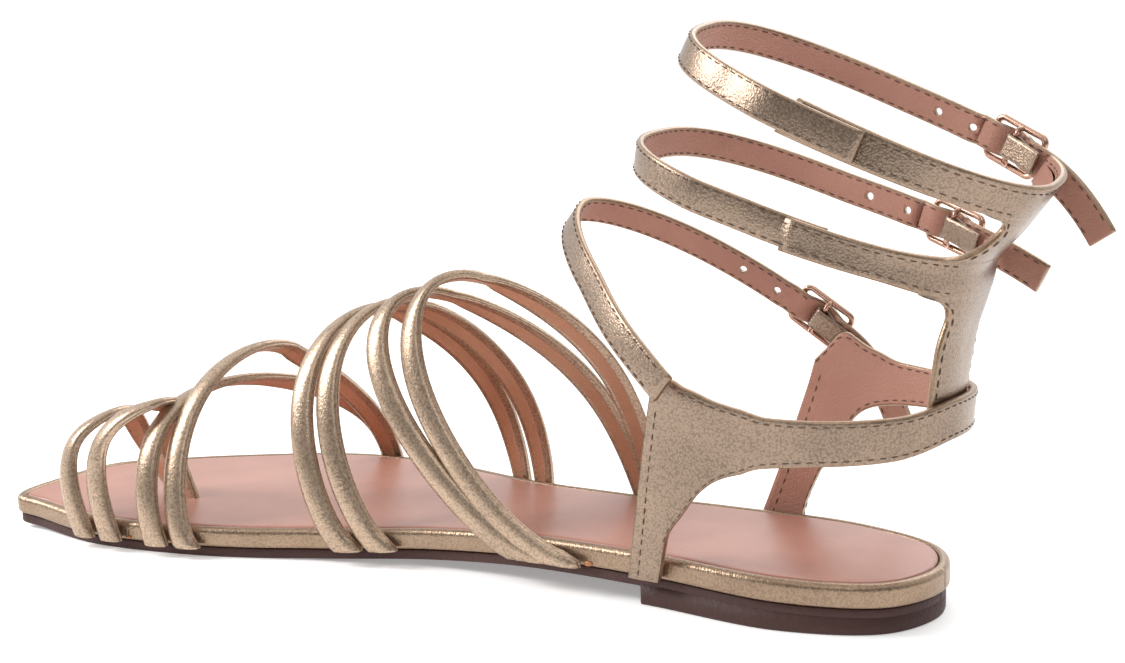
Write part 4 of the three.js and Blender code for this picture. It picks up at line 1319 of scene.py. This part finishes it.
    def build_spine(self, looks: Sequence[bpy.types.Material]) -> None:
        """Builds the spine, its branches and their stitches.

        Args:
            looks: gold, lining and edge materials.
        """
        shell, lines = Shell(), []
        near, far = -SIZE.gap - SIZE.leather_t, -SIZE.gap
        stem = refined(self.stem, self.cells)
        inner = np.array([(r["inner"], r["at"]) for r in stem])
        outer = np.array([(r["outer"], r["at"]) for r in stem])
        self.panel(shell, inner, outer, near + 0.05, far - 0.05)
        for table in (self.middle_branch, self.top_branch):
            fine = refined(table, self.cells)
            low = np.array([(r["at"], r["low"]) for r in fine])
            high = np.array([(r["at"], r["high"]) for r in fine])
            self.panel(shell, low, high, near, far)
            medial = low[:, 0] > 0.26
            for out in (far + 0.02, near - 0.02):
                top = high if table is self.top_branch else high[medial]
                lines.append(self.edge_line(top[:, 0], top[:, 1], np.array([[0, -1.0]]), out))
                lines.append(self.edge_line(
                low[medial, 0], low[medial, 1], np.array([[0, 1.0]]), out))
        settle(shell.make("back_spine_fine", looks), "gold_leather", "back_spine")
        for low, high in ((0.47, 0.65), (0.735, 0.8)):
            keep = (inner[:, 1] > low) & (inner[:, 1] < high)
            for side, sign in ((inner[keep], -1.0), (outer[keep], 1.0)):
                lines.append(self.edge_line(
                side[:, 0], side[:, 1], np.array([[sign, 0]]), far + 0.02))
        settle(self.stitches.sew("back_spine_stitches", lines, self.looks.thread), "gold_leather")


@dataclass(frozen=True)
class Buckled:
    """Where one ankle strap starts, is buckled and ends.

    Args:
        name: name of the strap.
        level: section of the ankle, or None for the instep's own oval.
        seam: degrees from the front where the overlap with the leather behind starts.
        lap: length of the overlap.
        lap_side: 1 outside, -1 inside.
        buckle: degrees from the front of the buckle's bar.
        tail: length past the buckle.
        droop: how far the tail's end hangs.
        swing: how far it stands out.
        tab_end: degrees from the front of the end of the tab, or None for a straight tab.
        holes: distances of the spare holes before the prong's hole.
    """

    name: str
    level: float | None
    seam: float
    lap: float
    lap_side: float
    buckle: float
    tail: float
    droop: float
    swing: float
    tab_end: float | None
    holes: tuple[float, ...]


@dataclass
class AnkleStrap:
    """One ankle strap with its buckle, prong, tab and stitches.

    Args:
        looks: materials.
        stitches: sewing rows.
        row: its place and lengths.
    """

    looks: Looks
    stitches: Stitches
    row: Buckled

    def frame_at(self, degrees: Array | float) -> tuple[Array, Array, Array, Array]:
        """Frames on the strap's surface.

        Args:
            degrees: turns from the front.

        Returns:
            Points, and directions along, across and out.
        """
        turn = np.radians(degrees)
        if self.row.level is None:
            return LAST.frames(LAST.instep_point, turn, 0 * turn)
        return LAST.frames(LAST.ankle_point, turn, self.row.level + 0 * turn)

    def home(self) -> tuple[Array, Array, Array, Array]:
        """Frame of the buckle on the middle of the strap.

        Returns:
            Its point, and directions along, across and out.
        """
        point, along, across, out = self.frame_at(self.row.buckle)
        base = 0.0 if self.row.level is None else -SIZE.gap - SIZE.ankle_strap_t / 2
        return point + out * base, along, across, out

    def line(self) -> tuple[Array, Array, Array, int]:
        """Middle line of the strap.

        Returns:
            Points, directions across and out, and the number of the point at the bar.
        """
        row, s = self.row, SIZE
        degrees = math.degrees(1 / (0.9 * s.ankle_width / 2))
        layer = s.leather_t / 2 + s.ankle_strap_t / 2 + s.gap + 0.25
        base = 0.0 if row.level is None else -s.gap - s.ankle_strap_t / 2
        home, along, across, out = self.home()
        zone, reach = s.buckle_l / 2 + 1, s.buckle_l / 2 - s.wire - s.gap
        to = row.buckle
        while np.linalg.norm(self.frame_at(to)[0] - home) < zone + s.ankle_strap_t:
            to += 1
        at = np.linspace(row.seam + degrees * row.lap, to, 150)
        point, _, sideways, outward = self.frame_at(at)
        lap = np.clip((at - row.seam + degrees * 10) / (degrees * 10), 0, 1)
        lap = lap * lap * (3 - 2 * lap)
        point = point + outward * (base + row.lap_side * layer * lap)[:, None]
        x = np.concatenate([np.linspace(-zone, reach, 60), np.linspace(reach, row.tail, 45)[1:]])
        hump = np.where(np.abs(x) < reach, np.cos(math.pi * x / (2 * reach)) ** 2, 0)
        past = np.clip((x - reach) / (row.tail - reach), 0, None)
        top = s.wire / 2 + 2 * s.gap + s.tab_t + s.ankle_strap_t / 2
        tail = home + x[:, None] * along + (hump * top + row.swing * past**2)[:, None] * out
        tail = tail - (row.droop * past**2)[:, None] * across
        lean = (2 * row.droop * past / (row.tail - reach))[:, None]
        turned = unit(across + lean * along)
        points = np.concatenate([point, tail])
        turned_out = np.concatenate([outward, np.repeat(out[None], len(x), 0)])
        bar = len(at) + int(60 * zone / (zone + reach))
        return points, np.concatenate([sideways, turned]), turned_out, bar

    def build(self) -> None:
        """Builds the strap, its stitches, the buckle and the tab."""
        points, sideways, outward, bar = self.line()
        along = unit(np.gradient(points, axis=0))
        outward = unit(outward - (outward * along).sum(1, keepdims=True) * along)
        sideways = unit(sideways - (sideways * along).sum(1, keepdims=True) * along)
        w, t = SIZE.ankle_strap_w / 2, SIZE.ankle_strap_t / 2
        share = np.linspace(-1, 1, 11)
        turns = np.linspace(0, math.pi, 7)[1:-1]
        puff = 0.14 * np.cos(share * math.pi / 2)
        inside = [(a * (w - 0.45), -t * 0.96 - p * 0.3) for a, p in zip(share, puff)]
        outside = [(-a * (w - 0.45), t * 0.9 + p) for a, p in zip(share, puff)]
        right = [(w - 0.45 + 0.45 * math.sin(a), -t * 0.93 * math.cos(a)) for a in turns]
        left = [(-w + 0.45 - 0.45 * math.sin(a), t * 0.93 * math.cos(a)) for a in turns]
        section = np.array(inside + right + outside + left)
        slots = [1] * 10 + [2] * 6 + [0] * 10 + [2] * 6
        shell = Shell()
        shell.loft(swept(points, sideways, outward, section), slots, list(section[:, 0] / w))
        name = self.row.name + "_ankle_strap"
        strap = shell.make(name + "_fine", [self.looks.gold, self.looks.lining, self.looks.edge])
        self.punch(strap, points, outward, bar)
        settle(strap, "gold_leather", name)
        lines = []
        for side in (-1, 1):
            for out in (t + 0.03, -t - 0.03):
                keep = slice(4, bar - 22)
                lines.append((points + sideways * side * (w - 0.85) + outward * out)[keep])
                lines.append((points + sideways * side * (w - 0.85) + outward * out)[bar + 22:-6])
        settle(self.stitches.sew(name + "_stitches", lines, self.looks.thread), "gold_leather")
        self.build_buckle()
        self.build_tab()

    def punch(self, strap: bpy.types.Object, points: Array, outward: Array, bar: int) -> None:
        """Cuts the spare holes and the prong's hole.

        Args:
            strap: the strap to cut.
            points: its middle line.
            outward: its outward directions.
            bar: number of the point at the bar.
        """
        run = np.concatenate([[0], np.cumsum(np.linalg.norm(np.diff(points, axis=0), axis=1))])
        shell = Shell()
        turns = np.linspace(0, 2 * math.pi, 17)[:-1]
        for back in (*self.row.holes, 0.0):
            i = int(np.searchsorted(run, run[bar] - back))
            along = unit(points[i + 1] - points[i - 1])
            up = np.cross(outward[i], along)
            radius = 0.9 if back else SIZE.prong_r + SIZE.gap
            circle = np.array([along * math.cos(a) + up * math.sin(a) for a in turns]) * radius
            shell.loft(np.array([points[i] + circle + outward[i] * d for d in (-3, 3)]), [0] * 16)
        cutter = shell.make("punch", [self.looks.edge])
        cut = strap.modifiers.new("holes", "BOOLEAN")
        cut.operation, cut.object, cut.solver = "DIFFERENCE", cutter, "EXACT"
        evaluated = strap.evaluated_get(bpy.context.evaluated_depsgraph_get())
        mesh = bpy.data.meshes.new_from_object(evaluated)
        strap.modifiers.clear()
        if len(mesh.polygons) > 100:
            strap.data = mesh
        bpy.data.objects.remove(cutter)

    def placed(self, local: Array) -> Array:
        """Points from the buckle's own axes: along to the tail, across up, and out."""
        home, along, across, out = self.home()
        return home + local[..., :1] * along + local[..., 1:2] * across + local[..., 2:3] * out

    def wire(self, shell: Shell, path: Array, radius: float, closed: bool) -> None:
        """Adds a round wire along a path in the buckle's own axes.

        Args:
            shell: where it goes.
            path: its middle line.
            radius: its radius.
            closed: whether it is a closed loop.
        """
        if closed:
            path = np.concatenate([path, path[:1]])
            along = unit(np.roll(path, -1, 0) - np.roll(path, 1, 0))
            along[0] = along[-1] = unit(path[1] - path[-2])
        else:
            along = unit(np.gradient(path, axis=0))
        side = np.where(np.abs(along[:, 1:2]) > 0.9,
                        np.array([[1.0, 0, 0]]), np.array([[0, 1.0, 0]]))
        side = np.array([[0, 0, 1.0]]) if closed else side
        first = unit(side - (side * along).sum(1, keepdims=True) * along)
        second = np.cross(along, first)
        turns = np.linspace(0, 2 * math.pi, 17)[:-1]
        rings = np.stack([
            path + radius * (first * math.cos(a) + second * math.sin(a)) for a in turns
        ], 1)
        shell.loft(self.placed(rings), [0] * 16, None, Ring.OPEN if closed else Ring.PAIRS)

    def build_buckle(self) -> None:
        """Builds the frame with its bar, and the prong."""
        s = SIZE
        r, inside = s.wire / 2, s.ankle_strap_w + 2 * s.side_play
        x, y, corner = s.buckle_l / 2 - r, inside / 2 + r, 1.6
        loop = []
        for k, (sx, sy) in enumerate(((1, 1), (-1, 1), (-1, -1), (1, -1))):
            for a in np.linspace(k * math.pi / 2, (k + 1) * math.pi / 2, 9):
                loop.append((sx * (x - corner) + corner * math.cos(a),
                             sy * (y - corner) + corner * math.sin(a), 0))
        out = s.ankle_strap_t / 2 + s.gap + r
        shell = Shell()
        self.wire(shell, np.array(loop) + np.array([0, 0, out]), r, True)
        sides = np.linspace(-1, 1, 21)
        dip = out * np.clip((np.abs(sides) - 0.8) / 0.2, 0, 1)
        self.wire(shell, np.stack([0 * sides, sides * y, dip], -1), r * 0.92, False)
        name = self.row.name + "_buckle"
        settle(shell.make(name + "_fine", [self.looks.metal]), "buckle_metal", name)
        top = r + 2 * s.gap + s.tab_t + s.ankle_strap_t
        high = top + s.gap + s.prong_r
        low = out + r + s.gap + s.prong_r
        deep = r + 2 * s.gap + s.tab_t
        knots = smooth_table([0, 0.25, 0.55, 1], [high, high, high - 0.2, low])
        share = np.linspace(0, 1, 24)
        path = np.stack([-share * s.buckle_l / 2, 0 * share, knots(share)], -1)
        root = np.stack([0 * share[:6], 0 * share[:6], np.linspace(deep, high - 0.25, 6)], -1)
        prong = Shell()
        self.wire(prong, np.concatenate([root, path[1:]]), s.prong_r, False)
        name = self.row.name + "_prong"
        settle(prong.make(name + "_fine", [self.looks.metal]), "buckle_metal", name)

    def build_tab(self) -> None:
        """Builds the folded tab round the bar."""
        s = SIZE
        mid = s.wire / 2 + s.gap + s.tab_t / 2
        home, along, _, out = self.home()
        under = -s.gap - (s.ankle_strap_t / 2 if self.row.tab_end is None else s.leather_t + s.gap)
        if self.row.tab_end is None:
            x = np.linspace(1.6 * (mid + s.tab_t / 2), 1.6 * (mid + s.tab_t / 2) + 11, 12)
            tongue = np.stack([x, 0 * x + under - s.tab_t / 2], -1)
        else:
            at = np.linspace(self.row.buckle - 9, self.row.tab_end, 12)
            point, _, _, outward = self.frame_at(at)
            point = point + outward * (under - s.tab_t / 2) - home
            tongue = np.stack([point @ along, point @ out], -1)
        turns = np.linspace(-math.pi / 2, -3 * math.pi / 2, 17)
        nose = np.stack([mid * np.cos(turns), mid * np.sin(turns)], -1)
        back = nose[-1] + (
            tongue[1] + (0, s.tab_t * 0.9) - nose[-1]) * np.linspace(0, 1, 6)[1:, None]
        path = np.concatenate([tongue[::-1], nose, back])
        path = np.stack([path[:, 0], 0 * path[:, 0], path[:, 1]], -1)
        direction = unit(np.gradient(path, axis=0))
        side = np.array([[0, 1.0, 0]]) + 0 * path
        normal = np.cross(direction, side)
        t, w = s.tab_t / 2 * 0.95, s.tab_w / 2
        share = np.linspace(-1, 1, 9)
        turns = np.linspace(0, math.pi, 5)[1:-1]
        section = np.array(
            [(a * (w - 0.2), -t) for a in share]
            + [(w - 0.2 + 0.2 * math.sin(a), -t * math.cos(a)) for a in turns]
            + [(-a * (w - 0.2), t) for a in share]
            + [(-w + 0.2 - 0.2 * math.sin(a), t * math.cos(a)) for a in turns]
        )
        rings = swept(path, side, normal, section)
        shell = Shell()
        shell.loft(self.placed(rings), [0] * len(section), list(section[:, 0] / w))
        name = self.row.name + "_tab"
        settle(shell.make(name + "_fine", [self.looks.gold]), "gold_leather", name)


@dataclass
class Glue:
    """Small glue stains where straps are tucked in."""

    looks: Looks
    spots = rows("x inner size", (59.5, 1, 1.3), (76.5, 1, 1.2), (134.0, 1, 0.9), (199.0, 1, 0.8),
                 (186.0, 1, 0.8))

    def build(self) -> None:
        """Builds the stains as one mesh."""
        shell = Shell()
        for spot in self.spots:
            x = spot["x"]
            centre = np.array([x, float(LAST.side_y(True, x)) + 0.15, float(LAST.base(x)) + 0.7])
            turns = np.linspace(0, math.pi, 8)
            rings = []
            for a in turns:
                ring = [(math.cos(a), math.sin(a) * math.cos(b) * 0.45,
                         math.sin(a) * math.sin(b) * 0.5)
                        for b in np.linspace(0, 2 * math.pi, 13)[:-1]]
                rings.append(centre + np.array(ring) * spot["size"])
            shell.loft(np.array(rings), [0] * 12)
        settle(shell.make("glue_stains", [self.looks.glue]), "gold_leather")


# Picture


@dataclass(frozen=True)
class Photo:
    """Camera, floor and light of the picture.

    Args:
        eye: camera's place in metres in the row's frame.
        target: what it looks at.
        roll: turn about its axis in degrees.
        lens: focal length in millimetres on a 36 mm sensor.
    """

    eye: tuple[float, float, float] = (-0.14956, 0.36687, 0.12787)
    target: tuple[float, float, float] = (0.0904, -0.0412, 0.04852)
    roll: float = -1.383
    lens: float = 58.29

    def camera(self) -> None:
        """Sets the camera at the photo's angle."""
        data = bpy.data.cameras.new("camera")
        data.lens, data.sensor_width, data.clip_start = self.lens, 36.0, 0.01
        camera = bpy.data.objects.new("camera", data)
        bpy.context.scene.collection.objects.link(camera)
        look = Vector(self.target) - Vector(self.eye)
        turn = look.to_track_quat("-Z", "Y").to_matrix().to_4x4()
        camera.matrix_world = (
            Matrix.Translation(self.eye) @ turn @ Matrix.Rotation(math.radians(self.roll), 4, "Z")
        )
        bpy.context.scene.camera = camera

    def floor(self) -> None:
        """Adds the plain pale floor."""
        mesh = bpy.data.meshes.new("floor")
        mesh.from_pydata([(-3, -3, 0), (3, -3, 0), (3, 3, 0), (-3, 3, 0)], [], [(0, 1, 2, 3)])
        floor = bpy.data.objects.new("floor", mesh)
        bpy.context.scene.collection.objects.link(floor)
        tree = Tree("floor")
        mesh.materials.append(tree.finish(
            Base_Color=(1, 1, 1, 1), Roughness=0.9,
            Emission_Color=(1, 1, 1, 1), Emission_Strength=0.3,
        ))

    def lamp(self, name: str, place: tuple[float, float, float], size: float, power: float,
             color: tuple[float, float, float] = (1, 1, 1)) -> None:
        """Adds a soft lamp that faces the shoe.

        Args:
            name: its name.
            place: its place in metres.
            size: its width.
            power: its power in watts.
            color: its colour.
        """
        data = bpy.data.lights.new(name, "AREA")
        data.size, data.energy, data.color = size, power, color
        lamp = bpy.data.objects.new(name, data)
        bpy.context.scene.collection.objects.link(lamp)
        look = Vector((0.08, 0, 0.04)) - Vector(place)
        lamp.matrix_world = (Matrix.Translation(place)
                             @ look.to_track_quat("-Z", "Y").to_matrix().to_4x4())

    def world(self) -> bpy.types.World:
        """A white tent that is open on the camera's side.

        Returns:
            The world.
        """
        t = Tree("tent", world=True)
        look = Vector(self.target) - Vector(self.eye)
        look.z = 0
        toward = look.normalized() * 0.75 + Vector((0, 0, 0.65))
        aim = t.add("ShaderNodeVectorMath", {"operation": "DOT_PRODUCT"}, {
            0: t.add("ShaderNodeTexCoord", output="Generated"), 1: tuple(toward),
        }, "Value")
        return t.finish(Color=(1, 1, 1, 1), Strength=aim.step(-0.3, 0.6) * 0.84 + 0.18)

    def build(self) -> None:
        """Sets the whole picture up."""
        self.camera()
        self.floor()
        self.lamp("left", (0.75, 0.35, 0.5), 0.35, 5.2)
        self.lamp("key", (-0.25, 0.6, 0.7), 0.4, 0.9)
        self.lamp("back", (0.1, -0.7, 0.7), 0.6, 2.5)
        bpy.context.scene.world = self.world()
        view = bpy.context.scene.view_settings
        view.view_transform = "Standard"


ANKLE_STRAPS = (
    Buckled("top", 0.843, 79, 8, 1, -125, 29, 8, 2, -144, (12.3, 20.4)),
    Buckled("middle", 0.697, 90, 6.6, -1, -122.5, 26, 2, 2, -144, (13.7, 22.5)),
    Buckled("lowest", None, 60, 5.5, 1, -72, 30, 10, 2, None, (12.9, 22.5)),
)


def main() -> None:
    """Builds every piece in order."""
    looks = Looks()
    stitches = Stitches(looks.thread)
    Sole(looks).build()
    VampStraps(looks).build()
    Panels(looks, stitches).build()
    for row in ANKLE_STRAPS:
        AnkleStrap(looks, stitches, row).build()
    Glue(looks).build()
    Photo().build()


if __name__ == "__main__":
    main()
